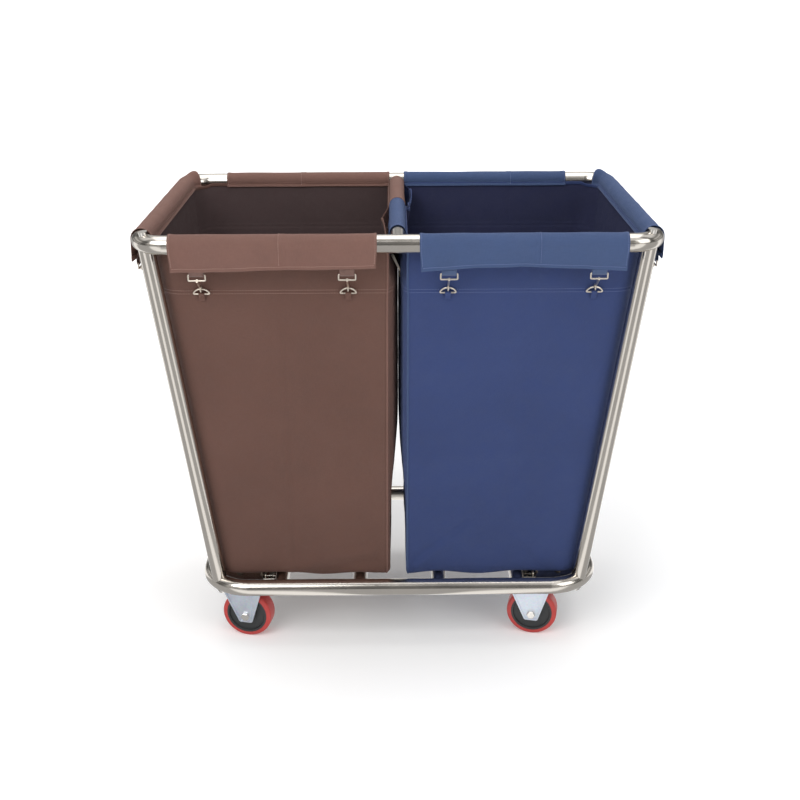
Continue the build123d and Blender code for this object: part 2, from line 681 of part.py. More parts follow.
hardware = {"hook": [], "ring": []}
outer_lean_y = (BAG_TOP_HALF_Y - BAG_BOTTOM_HALF_Y) / BAG_HEIGHT
outer_lean_x = (BAG_TOP_X[1] - BAG_BOTTOM_X[1]) / BAG_HEIGHT
inner_lean_x = (BAG_BOTTOM_X[0] - BAG_TOP_X[0]) / BAG_HEIGHT
flap_middle = (FLAP_INNER_END + FLAP_OUTER_END) / 2
flap_length = FLAP_OUTER_END - FLAP_INNER_END
cross_flaps = {"blue": CROSS_FLAP_FRONT, "brown": CROSS_FLAP_REAR}
cross_hooks = dict(zip(("blue", "brown"), CROSS_HOOK_Y))
tie_drop = BAG_BOTTOM_Z - BASE_Z

for colour, side in SIDES.items():
    save(Compound(bag_panels(side)), f"{colour}_bag")

    outward = 0 if side > 0 else 180
    start, end = cross_flaps[colour]
    flaps = [
        rail(side * flap_middle, -TOP_HALF[1], -90) * flap_shape(LOOP_R, flap_length),
        rail(side * flap_middle, TOP_HALF[1], 90) * flap_shape(LOOP_R, flap_length),
        rail(side * TOP_HALF[0], 0, outward) * flap_shape(LOOP_R, SIDE_FLAP_LENGTH),
        rail(0, (start + end) / 2, 180 - outward) * flap_shape(CROSSBAR_R, end - start),
    ]
    with BuildPart() as flap_group:
        add(flaps)
    save(flap_group.part, f"{colour}_flaps")

    wall = LOOP_R + CLOTH_GAP
    sets = [flap_hook(rail(side * x, -TOP_HALF[1], -90), LOOP_R, wall, outer_lean_y) for x in FLAP_HOOK_X]
    sets += [flap_hook(rail(side * x, TOP_HALF[1], 90), LOOP_R, wall, outer_lean_y) for x in FLAP_HOOK_X]
    sets += [flap_hook(rail(side * TOP_HALF[0], y, outward), LOOP_R, wall, outer_lean_x) for y in SIDE_HOOK_Y]
    cross_rail = rail(0, cross_hooks[colour], 180 - outward)
    sets += [flap_hook(cross_rail, CROSSBAR_R, BAG_TOP_X[0], inner_lean_x)]

    straps = [one[name] for one in sets for name in ("strap", "tab")]
    hardware["hook"] += [one[name] for one in sets for name in ("eye", "stem")]
    hardware["ring"] += [one["ring"] for one in sets]

    # Two ties under each bag: a strap down from the bag's floor, a hook lying level, nose outwards.
    for end in (-1, 1):
        eye_y = end * (TIE_LOOP_Y - TIE_LOOP_WIDTH - EYE_DEPTH - STEM_REACH)
        place = Location((side * (OUTER_BAR_X + TIE_HOOK_OFFSET), eye_y, BASE_Z), (0, 0, end * 90))
        hardware["hook"] += [place * eye, place * Location((EYE_DEPTH, 0, 0)) * stem]
        straps.append(place * Location((BARREL_R, 0, tie_drop)) * strap_shape(tie_drop))
    with BuildPart() as strap_group:
        add(straps)
    save(strap_group.part, f"{colour}_straps")

with BuildPart() as snap_hooks:
    add(hardware["hook"])
save(snap_hooks.part, "snap_hooks")

with BuildPart() as d_rings:
    add(hardware["ring"])
save(d_rings.part, "d_rings")

with BuildPart() as tie_loops:
    for sx, sy in CORNERS.values():
        reach = TIE_HOOK_OFFSET + SNAP_R
        with BuildSketch(Plane.XY.offset(BASE_Z)) as outline:
            with Locations((sx * (OUTER_BAR_X + reach / 2), sy * (TIE_LOOP_Y - TIE_LOOP_WIDTH / 2))):
                RectangleRounded(reach, TIE_LOOP_WIDTH, TIE_LOOP_BEND)
        add(wire_loop(outline.sketch.face()))
    for x in (-OUTER_BAR_X, OUTER_BAR_X):
        add(bar_rod(x, BASE_HALF[1], BASE_Z, BASE_BAR_R), mode=Mode.SUBTRACT)
save(tie_loops.part, "tie_loops")
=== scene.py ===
import math

import bpy
import numpy as np
from mathutils import Matrix


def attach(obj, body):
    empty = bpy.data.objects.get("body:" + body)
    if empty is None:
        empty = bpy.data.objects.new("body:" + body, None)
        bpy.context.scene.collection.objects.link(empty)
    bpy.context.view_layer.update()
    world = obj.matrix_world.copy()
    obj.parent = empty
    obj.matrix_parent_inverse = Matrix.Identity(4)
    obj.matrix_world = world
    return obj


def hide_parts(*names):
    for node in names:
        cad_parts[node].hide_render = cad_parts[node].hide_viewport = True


# Two-bag linen trolley: canvas, webbing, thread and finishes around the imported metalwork.
# Metres, +Z up, -Y is the front. "a" is the distance from the middle of the trolley outwards.

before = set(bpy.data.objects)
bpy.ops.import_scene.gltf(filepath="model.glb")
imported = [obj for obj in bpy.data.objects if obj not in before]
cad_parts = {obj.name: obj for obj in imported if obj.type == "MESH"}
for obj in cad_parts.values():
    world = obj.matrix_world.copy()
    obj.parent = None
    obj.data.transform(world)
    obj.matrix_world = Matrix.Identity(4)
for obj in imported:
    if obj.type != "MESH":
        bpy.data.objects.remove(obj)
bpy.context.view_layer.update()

# ---------------------------------------------------------------- sizes shared with the metalwork
TOP_Z = 0.838
TOP_HALF = (0.434, 0.267)  # centreline of the top loop
TOP_BEND = 0.044
RAIL_R = 0.016
CROSSBAR_R = 0.0125
BASE_Z = 0.141
OUTER_BAR_A = 0.231
BAR_PITCH = 0.154
FLOOR_Z = 0.1553  # underside of the bags
FOOT_A = (0.015, 0.360)
MOUTH_A = (0.0145, 0.4177)
FOOT_HALF_Y = 0.174
MOUTH_HALF_Y = 0.2507
OUTER_CORNER = (0.048, 0.040)  # bag corners next to the posts, foot and mouth
CLOTH_GAP = 0.0003
FLAP_DROP = 0.038
STRAP_LENGTH = 0.010
STRAP_WIDTH = 0.025
STRAP_T = 0.0016
WIRE_R = 0.0014
SLIP = 0.00005
BARREL_R = WIRE_R + SLIP + STRAP_T
EYE_DEPTH = 0.0095
STEM_REACH = 0.0395  # from the eye's lower bar to the snap ring's centre
RING_STANDS = 0.0112  # from the D-ring's bar to its crown
RING_LEAN = math.radians(18.5)  # from the bag's wall
TIE_A = OUTER_BAR_A + 0.033
TIE_Y = 0.107

# ---------------------------------------------------------------- sizes of the cloth
CANVAS_T = 0.0010
FLAP_T = 0.0009
FOLD_R = 0.0011  # half the thickness of a turned hem
HEM_WIDTH = 0.0075
HEM_STITCH = 0.0042  # its stitches above the hem's edge
FACING = 0.0085  # flap sewn down inside the bag, below the rail's centre
SEAM_Z = 0.743  # where the top band laps over the body
SEAM_ROWS = (0.746, 0.7515)
KNEE_Z = 0.765  # above this the wall follows its own hem
STITCH_PITCH = 0.0042
STITCH_HALF = 0.0015
STITCH_R = 0.00038
INNER_CORNER = {"brown": (0.016, 0.007), "blue": (0.008, 0.006)}
INNER_FOOT_A = {"brown": 0.0165, "blue": 0.0120}
FRONT_SPAN = {"brown": (0.035, 0.380), "blue": (0.036, 0.382)}
BACK_SPAN = {"brown": (0.015, 0.352), "blue": (0.015, 0.351)}
CROSS_SPAN = {"brown": (0.032, 0.240), "blue": (-0.192, 0.028)}
MIDDLE_SEAM_A = {"brown": 0.1935, "blue": 0.2335}
HEM_SLOPE = {"brown": 0.0050, "blue": 0.0}  # how much lower a front hem hangs at its outer end
HEM_BOW = {"brown": 0.0010, "blue": 0.0065}  # and at both ends than in the middle
# How far the walls stand out: the inner walls until the two bags touch, the outer walls at mid-depth.
INNER_BELLY = {"brown": 0.0163, "blue": 0.0140}
SIDE_BELLY = {"brown": 0.020, "blue": 0.042}
BACK_BELLY = 0.004
WIDE_SLACK = 0.0016  # height of the wide waves in a wall
FINE_SLACK = 0.0007
BAND_LAP = 0.0009  # how far the top band stands out from the body
STITCH_SINK = 0.0005  # how far a row of stitches draws the cloth in
CREASE_FADE = 0.03
DOME_LIFT = 0.0060  # of the side flap over the corner bolt's head
HEM_DROOP = 0.0060  # of a bag's bottom edge between the base bars
FLOOR_DROOP = 0.0050
PIPING_R = 0.0019
WEBBING_T = 0.0014
TAB_WIDTH = 0.010
TAB_HEIGHT = 0.012
STRAP_HIDDEN = 0.009  # part of a strap behind the hem
SIDE_FLAP_HALF = 0.223
REAR_WRAP = 54  # degrees that the side flap goes round the rear bend
BAND_PITCH = 0.0046  # of the stitches in the top band
BOTTOM_BEND = 0.009  # radius of the rounded edge between floor and walls
FLAP_HOOK_A = (0.085, 0.335)
SIDE_HOOK_Y = (-0.190, 0.190)
CROSS_HOOK_Y = {"brown": 0.160, "blue": -0.120}
SIDES = {"brown": -1, "blue": 1}
Z_UP = np.array([0.0, 0.0, 1.0])


# ---------------------------------------------------------------- small helpers
def mix(a, b, t):
    return a + (b - a) * t


def ease(t):
    """0 below 0, 1 above 1, and 3t^2 - 2t^3 between."""
    t = np.clip(t, 0, 1)
    return t * t * (3 - 2 * t)


def bell(x, width):
    """exp of minus the square of x over width."""
    return np.exp(-((x / width) ** 2))


def ripple(u, v, seed, scale):
    """Seven plane waves in fixed directions, about one unit high and scale long: a slack cloth's field."""
    draw = np.random.default_rng(seed)
    angles, phases = draw.uniform(0, math.pi, 7), draw.uniform(0, 2 * math.pi, 7)
    lengths = scale * draw.uniform(0.6, 1.7, 7)
    total = 0
    for angle, phase, length in zip(angles, phases, lengths):
        total = total + np.sin(2 * math.pi * (u * math.cos(angle) + v * math.sin(angle)) / length + phase)
    return total / 3.2


def lengths_along(points, axis):
    """Distance travelled along one axis of a grid of points, starting at 0."""
    step = np.linalg.norm(np.diff(points, axis=axis), axis=-1)
    return np.concatenate([np.zeros_like(np.take(step, [0], axis)), np.cumsum(step, axis)], axis)


def make_mesh(name, points, faces, corner_uv=None):
    mesh = bpy.data.meshes.new(name)
    mesh.from_pydata(np.asarray(points, float).reshape(-1, 3).tolist(), [], faces)
    if corner_uv is not None:
        layer = mesh.uv_layers.new(name="cloth")
        layer.data.foreach_set("uv", np.asarray(corner_uv, np.float32).ravel())
    mesh.polygons.foreach_set("use_smooth", np.ones(len(mesh.polygons), bool))
    mesh.update()
    piece = bpy.data.objects.new(name, mesh)
    bpy.context.scene.collection.objects.link(piece)
    return piece


def grid_piece(name, points, uv, wrap=False, flip=False, pole=None):
    """A skin of four-sided faces over a grid of points.

    uv holds one more column than points where the columns wrap round. A pole is one more point
    that closes the first row with a fan.
    """
    rows, cols = points.shape[:2]
    i, j = np.meshgrid(np.arange(rows - 1), np.arange(cols if wrap else cols - 1), indexing="ij")
    i, j = i.ravel(), j.ravel()
    k = (j + 1) % cols
    faces = np.stack([i * cols + j, i * cols + k, (i + 1) * cols + k, (i + 1) * cols + j], 1)
    corner_uv = np.stack([uv[i, j], uv[i, j + 1], uv[i + 1, j + 1], uv[i + 1, j]], 1)
    if flip:
        faces, corner_uv = faces[:, ::-1], corner_uv[:, ::-1]
    faces, corner_uv = faces.tolist(), corner_uv.reshape(-1, 2)
    if pole is not None:
        j = np.arange(cols)
        hub = np.full(cols, rows * cols)
        fan = np.stack([hub, (j + 1) % cols, j], 1)
        fan_uv = np.stack([uv[0, j] * [1, 0], uv[0, j + 1], uv[0, j]], 1)
        if flip:
            fan, fan_uv = fan[:, ::-1], fan_uv[:, ::-1]
        faces += fan.tolist()
        corner_uv = np.concatenate([corner_uv, fan_uv.reshape(-1, 2)])
        points = np.concatenate([points.reshape(-1, 3), [pole]])
    return make_mesh(name, points, faces, corner_uv)


def thicken(piece, thickness, offset, coated_shaded_lining=False):
    wall = piece.modifiers.new("thickness", "SOLIDIFY")
    wall.thickness = thickness
    wall.offset = offset
    wall.use_even_offset = False
    wall.material_offset = 1 if coated_shaded_lining else 0
    return piece


def ready(piece, body, slot_name, *finishes):
    """Gives a finished piece its materials and its body; slot_name is not used."""
    for finish in finishes:
        piece.data.materials.append(finish)
    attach(piece, body)
    return piece


# ---------------------------------------------------------------- materials
def linear(red, green, blue):
    """Screen colour out of 255 to the linear values that a shader takes."""
    share = np.array([red, green, blue]) / 255
    return (*np.where(share < 0.04045, share / 12.92, ((share + 0.055) / 1.055) ** 2.4), 1.0)


class Finish:
    """A material being put together: a Principled shader and the nodes that feed it."""

    def __init__(self, name, **sockets):
        self.material = bpy.data.materials.new(name)
        self.material.use_nodes = True
        self.tree = self.material.node_tree
        self.tree.nodes.clear()
        self.shader = self.tree.nodes.new("ShaderNodeBsdfPrincipled")
        output = self.tree.nodes.new("ShaderNodeOutputMaterial")
        self.tree.links.new(self.shader.outputs["BSDF"], output.inputs["Surface"])
        self.place = self.tree.nodes.new("ShaderNodeTexCoord")
        for socket, value in sockets.items():
            self.shader.inputs[socket.replace("_", " ")].default_value = value

    def feed(self, node, socket, value):
        if isinstance(value, bpy.types.NodeSocket):
            self.tree.links.new(value, node.inputs[socket])
        else:
            node.inputs[socket].default_value = value

    def sum(self, operation, a, b=0.0, clamp=False):
        node = self.tree.nodes.new("ShaderNodeMath")
        node.operation = operation
        node.use_clamp = clamp
        self.feed(node, 0, a)
        self.feed(node, 1, b)
        return node.outputs[0]

    def stretch(self, coordinate, scale):
        node = self.tree.nodes.new("ShaderNodeMapping")
        self.tree.links.new(self.place.outputs[coordinate], node.inputs["Vector"])
        node.inputs["Scale"].default_value = scale
        return node.outputs[0]

    def noise(self, coordinate, scale, detail=3.0, roughness=0.55, stretch=(1, 1, 1)):
        node = self.tree.nodes.new("ShaderNodeTexNoise")
        self.tree.links.new(self.stretch(coordinate, stretch), node.inputs["Vector"])
        node.inputs["Scale"].default_value = scale
        node.inputs["Detail"].default_value = detail
        node.inputs["Roughness"].default_value = roughness
        return node.outputs["Fac"]

    def cells(self, coordinate, scale):
        node = self.tree.nodes.new("ShaderNodeTexVoronoi")
        self.tree.links.new(self.place.outputs[coordinate], node.inputs["Vector"])
        node.inputs["Scale"].default_value = scale
        return node.outputs["Color"]

    def spread(self, value, low, high):
        """Takes a value from 0.3..0.7 to low..high."""
        node = self.tree.nodes.new("ShaderNodeMapRange")
        self.feed(node, "Value", value)
        node.inputs["From Min"].default_value = 0.3
        node.inputs["From Max"].default_value = 0.7
        node.inputs["To Min"].default_value = low
        node.inputs["To Max"].default_value = high
        return node.outputs[0]

    def blend(self, share, a, b, way="MIX"):
        node = self.tree.nodes.new("ShaderNodeMix")
        node.data_type = "RGBA"
        node.blend_type = way
        self.feed(node, 0, share)
        self.feed(node, 6, a)
        self.feed(node, 7, b)
        return node.outputs[2]

    def threads(self, axis, pitch):
        """A sine across the piece's own cloth coordinates, one wave for each thread."""
        split = self.tree.nodes.new("ShaderNodeSeparateXYZ")
        self.tree.links.new(self.place.outputs["UV"], split.inputs[0])
        return self.sum("SINE", self.sum("MULTIPLY", split.outputs[axis], 2 * math.pi / pitch))

    def bump(self, height, distance, strength=1.0, under=None):
        node = self.tree.nodes.new("ShaderNodeBump")
        self.tree.links.new(height, node.inputs["Height"])
        node.inputs["Strength"].default_value = strength
        node.inputs["Distance"].default_value = distance
        if under is not None:
            self.tree.links.new(under, node.inputs["Normal"])
        return node.outputs[0]

    def wire(self, **values):
        for socket, value in values.items():
            self.feed(self.shader, socket.replace("_", " "), value)
        return self.material


def shade(colour, share):
    return (*(c * share for c in colour[:3]), 1.0)


def canvas(name, colour, sheen_tint, thread=0.0009, sheen=0.35):
    """Close-woven coated canvas: plain weave, slubs, slow changes of tone and a soft nap."""
    nap = {"Sheen_Weight": sheen, "Sheen_Roughness": 0.45, "Sheen_Tint": sheen_tint}
    f = Finish(name, Specular_IOR_Level=0.25, **nap)
    weave = f.sum("MULTIPLY", f.threads(0, thread), f.threads(1, thread))
    slubs = f.noise("UV", 1.0, 2.0, stretch=(900, 90, 1))
    crossing = f.noise("UV", 1.0, 2.0, stretch=(90, 900, 1))
    slow = f.noise("Object", 5.5, 4.0)
    rubbed = f.noise("Object", 38.0, 5.0, 0.62)
    tone = f.blend(f.spread(slow, 0, 1), shade(colour, 0.88), shade(colour, 1.10))
    tone = f.blend(f.spread(slubs, 0.0, 0.40), tone, shade(colour, 1.30))
    tone = f.blend(f.spread(crossing, 0.0, 0.34), tone, shade(colour, 0.74))
    tone = f.blend(f.spread(rubbed, 0.0, 0.30), tone, shade(colour, 1.22))
    body = f.bump(f.noise("Object", 24.0, 3.0), 0.0016, 0.35)
    relief = f.bump(f.sum("ADD", weave, f.sum("ADD", slubs, crossing)), 0.00022, 0.55, body)
    return f.wire(Base_Color=tone, Roughness=f.spread(rubbed, 0.72, 0.90), Normal=relief)


def webbing(name, colour):
    """Flat woven tape: ribs across its width and a fine run of yarn along it."""
    f = Finish(name, Sheen_Weight=0.3, Sheen_Roughness=0.4, Specular_IOR_Level=0.3)
    ribs = f.threads(1, 0.0021)
    yarn = f.threads(0, 0.0016)
    tone = f.blend(f.spread(f.noise("Object", 60.0), 0, 1), shade(colour, 0.82), shade(colour, 1.15))
    tone = f.blend(f.sum("MULTIPLY_ADD", ribs, 0.14), tone, shade(colour, 0.6))
    relief = f.bump(f.sum("ADD", ribs, f.sum("MULTIPLY", yarn, 0.5)), 0.0004, 0.8)
    return f.wire(Base_Color=tone, Roughness=f.spread(f.noise("Object", 90.0), 0.7, 0.85), Normal=relief)


def sewing_thread(name, colour):
    """Polyester thread, a little brighter than the cloth, with its twist."""
    f = Finish(name, Sheen_Weight=0.2, Specular_IOR_Level=0.4)
    tone = f.blend(f.spread(f.noise("Object", 700.0), 0, 1), shade(colour, 0.8), shade(colour, 1.2))
    relief = f.bump(f.noise("Object", 2400.0, 1.0), 0.0002, 0.6)
    return f.wire(Base_Color=tone, Roughness=f.spread(f.noise("Object", 300.0), 0.5, 0.7), Normal=relief)


def metal(name, colour, rough, grain=(1, 1, 1), relief=0.00002, metallic=1.0):
    """Bare or plated metal: faint grain, handling marks in its gloss and slow changes of tone."""
    f = Finish(name, Metallic=metallic)
    marks = f.noise("Object", 9.0, 5.0, 0.6)
    fine = f.noise("Object", 260.0, 2.0, stretch=grain)
    tone = f.blend(f.spread(marks, 0, 1), shade(colour, 0.93), colour)
    tone = f.blend(f.spread(fine, 0.0, 0.25), tone, shade(colour, 0.86))
    gloss = f.sum("ADD", f.spread(marks, rough[0], rough[1]), f.spread(fine, -0.02, 0.03), clamp=True)
    return f.wire(Base_Color=tone, Roughness=gloss, Normal=f.bump(fine, relief, 0.4))


def zinc_plate(name, colour):
    """Bright zinc over pressed steel: small crystals in two tones and a soft gloss."""
    f = Finish(name, Metallic=0.82)
    crystals = f.cells("Object", 340.0)
    cloud = f.noise("Object", 45.0, 4.0)
    tone = f.blend(f.spread(cloud, 0, 1), shade(colour, 0.86), colour)
    tone = f.blend(0.10, tone, crystals, "OVERLAY")
    relief = f.bump(f.noise("Object", 420.0, 3.0), 0.00008, 0.3)
    return f.wire(Base_Color=tone, Roughness=f.spread(cloud, 0.30, 0.44), Normal=relief)


def moulded(name, colour, rough, pits, relief):
    """Moulded plastic or cast rubber: skin texture, dust in its gloss and slow changes of tone."""
    f = Finish(name, Specular_IOR_Level=0.5)
    slow = f.noise("Object", 16.0, 4.0)
    skin = f.noise("Object", pits, 3.0)
    tone = f.blend(f.spread(slow, 0, 1), shade(colour, 0.88), shade(colour, 1.12))
    tone = f.blend(f.spread(skin, 0.0, 0.2), tone, shade(colour, 1.4))
    return f.wire(Base_Color=tone, Roughness=f.spread(slow, *rough), Normal=f.bump(skin, relief, 0.45))


BROWN = linear(92, 66, 58)
BLUE = linear(47, 60, 101)
cloth = {
    "brown": {
        "canvas": canvas("brown canvas", BROWN, linear(190, 160, 150)),
        # The flaps and the piping take a lighter copy of the canvas: painted light.
        "facing": canvas("brown flap canvas", linear(110, 81, 73), linear(190, 160, 150)),
        # The inside of each bag is a darker copy of its canvas: partly the coating's own colour, partly
        # painted shade inside the bag.
        "coated_shaded_lining": canvas("brown coated inside with painted shade", linear(72, 58, 58), linear(120, 105, 105), sheen=0.15),
        "webbing": webbing("brown webbing", linear(118, 90, 82)),
        "thread": sewing_thread("brown thread", linear(150, 118, 108)),
    },
    "blue": {
        "canvas": canvas("blue canvas", BLUE, linear(140, 155, 195)),
        # Lighter copy of the canvas for the flaps and the piping: painted light.
        "facing": canvas("blue flap canvas", linear(58, 74, 108), linear(140, 155, 195)),
        # Darker inside copy: the coating's own colour with painted shade inside the bag.
        "coated_shaded_lining": canvas("blue coated inside with painted shade", linear(42, 45, 73), linear(90, 95, 130), sheen=0.15),
        "webbing": webbing("blue webbing", linear(72, 90, 126)),
        "thread": sewing_thread("blue thread", linear(92, 106, 150)),
    },
}
metalwork = {
    "polished_stainless": metal("polished stainless", linear(205, 199, 191), (0.12, 0.22), (1, 1, 14)),
    "bright_fastener": metal("bright fastener", linear(226, 222, 216), (0.16, 0.28)),
    "plain_steel": metal("plain steel", linear(186, 184, 182), (0.26, 0.40)),
    "zinc_plate": zinc_plate("bright zinc", linear(214, 221, 232)),
    "nickel_wire": metal("nickel wire", linear(236, 226, 212), (0.26, 0.38)),
    "black_core": moulded("black nylon core", linear(52, 53, 54), (0.45, 0.62), 500.0, 0.00012),
    "red_tread": moulded("red urethane tread", linear(184, 60, 56), (0.32, 0.48), 120.0, 0.0001),
}
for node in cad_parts.values():
    for holder in node.material_slots:
        finish = metalwork.get(holder.material.name.split(".")[0])
        if finish is not None:
            holder.material = finish


# ---------------------------------------------------------------- bag bodies
BAG_PARTS = (("front", 84), ("front_corner", 10), ("side", 70), ("back_corner", 10))
BAG_PARTS += (("back", 84), ("inner_back", 8), ("inner", 70), ("inner_front", 8))
part_of = np.repeat([name for name, _ in BAG_PARTS], [count for _, count in BAG_PARTS])
share_of = np.concatenate([np.arange(count) / count for _, count in BAG_PARTS])


def bag_ring(colour, height):
    """The bag's outline at each share of its height: a rounded rectangle, anticlockwise from above.

    Returns a and y (rows, columns) and the outward direction of each column.
    """
    t = height[:, None]
    near = mix(INNER_FOOT_A[colour], MOUTH_A[0], t)
    far, half = mix(FOOT_A[1], MOUTH_A[1], t), mix(FOOT_HALF_Y, MOUTH_HALF_Y, t)
    wide, tight = mix(*OUTER_CORNER, t), mix(*INNER_CORNER[colour], t)
    runs = {
        "front": (near + tight, -half, far - wide, -half),
        "side": (far, -half + wide, far, half - wide),
        "back": (far - wide, half, near + tight, half),
        "inner": (near, half - tight, near, -half + tight),
    }
    bends = {
        "front_corner": (far - wide, -half + wide, wide, -90),
        "back_corner": (far - wide, half - wide, wide, 0),
        "inner_back": (near + tight, half - tight, tight, 90),
        "inner_front": (near + tight, -half + tight, tight, 180),
    }
    facing = {"front": -90, "side": 0, "back": 90, "inner": 180}
    a, y, turn = [], [], []
    for name, count in BAG_PARTS:
        share = np.arange(count) / count
        if name in runs:
            a0, y0, a1, y1 = runs[name]
            a.append(mix(a0, a1, share))
            y.append(mix(y0, y1, share) + 0 * t)
            turn.append(np.full(count, math.radians(facing[name])))
        else:
            ca, cy, r, start = bends[name]
            angle = np.radians(start + 90 * share)
            a.append(ca + r * np.cos(angle))
            y.append(cy + r * np.sin(angle))
            turn.append(angle)
    turn = np.concatenate(turn)
    return np.concatenate(a, 1), np.concatenate(y, 1), np.cos(turn), np.sin(turn)


def free_edge(colour, y):
    """1 where the middle wall's top edge has no flap to hold it up, 0 under the flap."""
    low, high = CROSS_SPAN[colour]
    return ease((low - y) / 0.03 + 0.1) + ease((y - high) / 0.03 + 0.1)


def hem_dip(colour, y):
    """How far each column's top edge hangs below the rail's centre."""
    dip = np.full(len(part_of), 0.002)
    corner = np.isin(part_of, ("front_corner", "back_corner"))
    dip[corner] += 0.004 * ease(1.6 * np.sin(math.pi * share_of[corner]) - 0.4)
    inner = part_of == "inner"
    wave = 1 + 0.5 * np.sin(y / 0.021 + 1.0)
    dip[inner] += (0.012 * free_edge(colour, y) * wave)[inner]
    dip[np.isin(part_of, ("inner_back", "inner_front"))] += 0.003
    return dip


def fold_line(a, z, along_a, at_z, depth, width, turned=False):
    """A crease along a bent line over a wall: a valley on one side of it and a ridge on the other.

    A turned crease runs up the wall, the other kind across it.
    """
    if turned:
        off, run, first, last = a - np.interp(z, at_z, along_a), z, at_z[0], at_z[-1]
    else:
        off, run, first, last = z - np.interp(a, along_a, at_z), a, min(along_a), max(along_a)
    reach = ease((run - first) / CREASE_FADE + 1) * ease((last - run) / CREASE_FADE + 1)
    return depth * reach * (off / width) * np.exp(0.5 - (off / width) ** 2)


def front_folds(colour, a, z):
    """The creases of a front wall: two across its foot and one up its middle, where it was folded."""
    if colour == "brown":
        crease = (0.029, 0.049, 0.086, 0.154, 0.209), (0.222, 0.195, 0.190, 0.178, 0.157)
        low = fold_line(a, z, *crease, 0.0042, 0.016)
        low += fold_line(a, z, (0.030, 0.070, 0.120), (0.262, 0.228, 0.214), 0.0018, 0.013)
        mid = fold_line(a, z, (0.207, 0.201), (0.17, 0.80), 0.0011, 0.009, True)
        return low + mid + 0.004 * bell(a - 0.075, 0.05) * bell(z - 0.168, 0.028)
    low = fold_line(a, z, (0.012, 0.060, 0.131), (0.163, 0.206, 0.268), -0.0042, 0.013)
    low += fold_line(a, z, (0.230, 0.262, 0.300), (0.230, 0.192, 0.170), 0.0014, 0.014)
    mid = fold_line(a, z, (0.205, 0.214, 0.234), (0.20, 0.45, 0.80), 0.0009, 0.010, True)
    return low + mid


def bag_slack(colour, a, y, z):
    """How far the cloth stands out from the plain tapered shape, at each grid point.

    Each wall has slack waves that die out at its sides, its foot and its top band. To them come the
    creases in front, a belly of a sine across the wall times a rise and a fall with height, and the
    sag of the middle wall's free edges. The middle walls lean on each other, except at the hooks
    between them.
    """
    seed = {"brown": 11, "blue": 29}[colour]
    along = {"front": a, "side": y, "back": a, "inner": y}
    body = ease((z - FLOOR_Z) / 0.05) * (1 - 0.85 * ease((z - 0.69) / 0.04))
    out = np.zeros_like(a)
    for number, name in enumerate(along):
        where = part_of == name
        s, w, zz = along[name][:, where], share_of[where][None, :], z[:, where]
        held = ease(np.minimum(w, 1 - w) / 0.10)
        field = WIDE_SLACK * ripple(s, zz * 0.45, seed + number, 0.16)
        field += FINE_SLACK * ripple(s, zz, seed + 10 + number, 0.055)
        out[:, where] = held * body[:, where] * field
    front = part_of == "front"
    hold = ease(np.minimum(share_of[front], 1 - share_of[front]) / 0.05)
    out[:, front] += hold * front_folds(colour, a[:, front], z[:, front])
    across = np.sin(math.pi * share_of)
    inner = part_of == "inner"
    lean_on = ease((z - 0.24) / 0.22) * (1 - ease((z - 0.775) / 0.04))
    spared = sum(bell(y - at, 0.026) for at in CROSS_HOOK_Y.values()) * ease((z - 0.695) / 0.04)
    out[:, inner] *= (1 - 0.85 * lean_on)[:, inner]
    out[:, inner] += (INNER_BELLY[colour] * across**0.35 * lean_on * (1 - spared))[:, inner]
    side = part_of == "side"
    swell = ease((z - 0.152) / 0.030) * (1 - ease((z - 0.33) / 0.42))
    out[:, side] += (SIDE_BELLY[colour] * across**0.8 * swell)[:, side]
    belly = ease((z - 0.24) / 0.20) * (1 - ease((z - 0.70) / 0.10))
    back = part_of == "back"
    out[:, back] += (BACK_BELLY * across * belly)[:, back]
    centre = bell(a - MIDDLE_SEAM_A[colour], 0.0045)
    out[:, back] += 0.0007 * centre[:, back]
    slack = free_edge(colour, y) * ease((z - 0.745) / 0.06)
    out[:, inner] -= (slack * (0.010 + 0.004 * np.sin(y / 0.033 + 2.0)))[:, inner]
    lap = ease((z - SEAM_Z) / 0.003)
    sunk = STITCH_SINK * (bell(z - SEAM_ROWS[0], 0.0022) + bell(z - SEAM_ROWS[1], 0.0022))
    return out - BAND_LAP * (1 - lap) - sunk


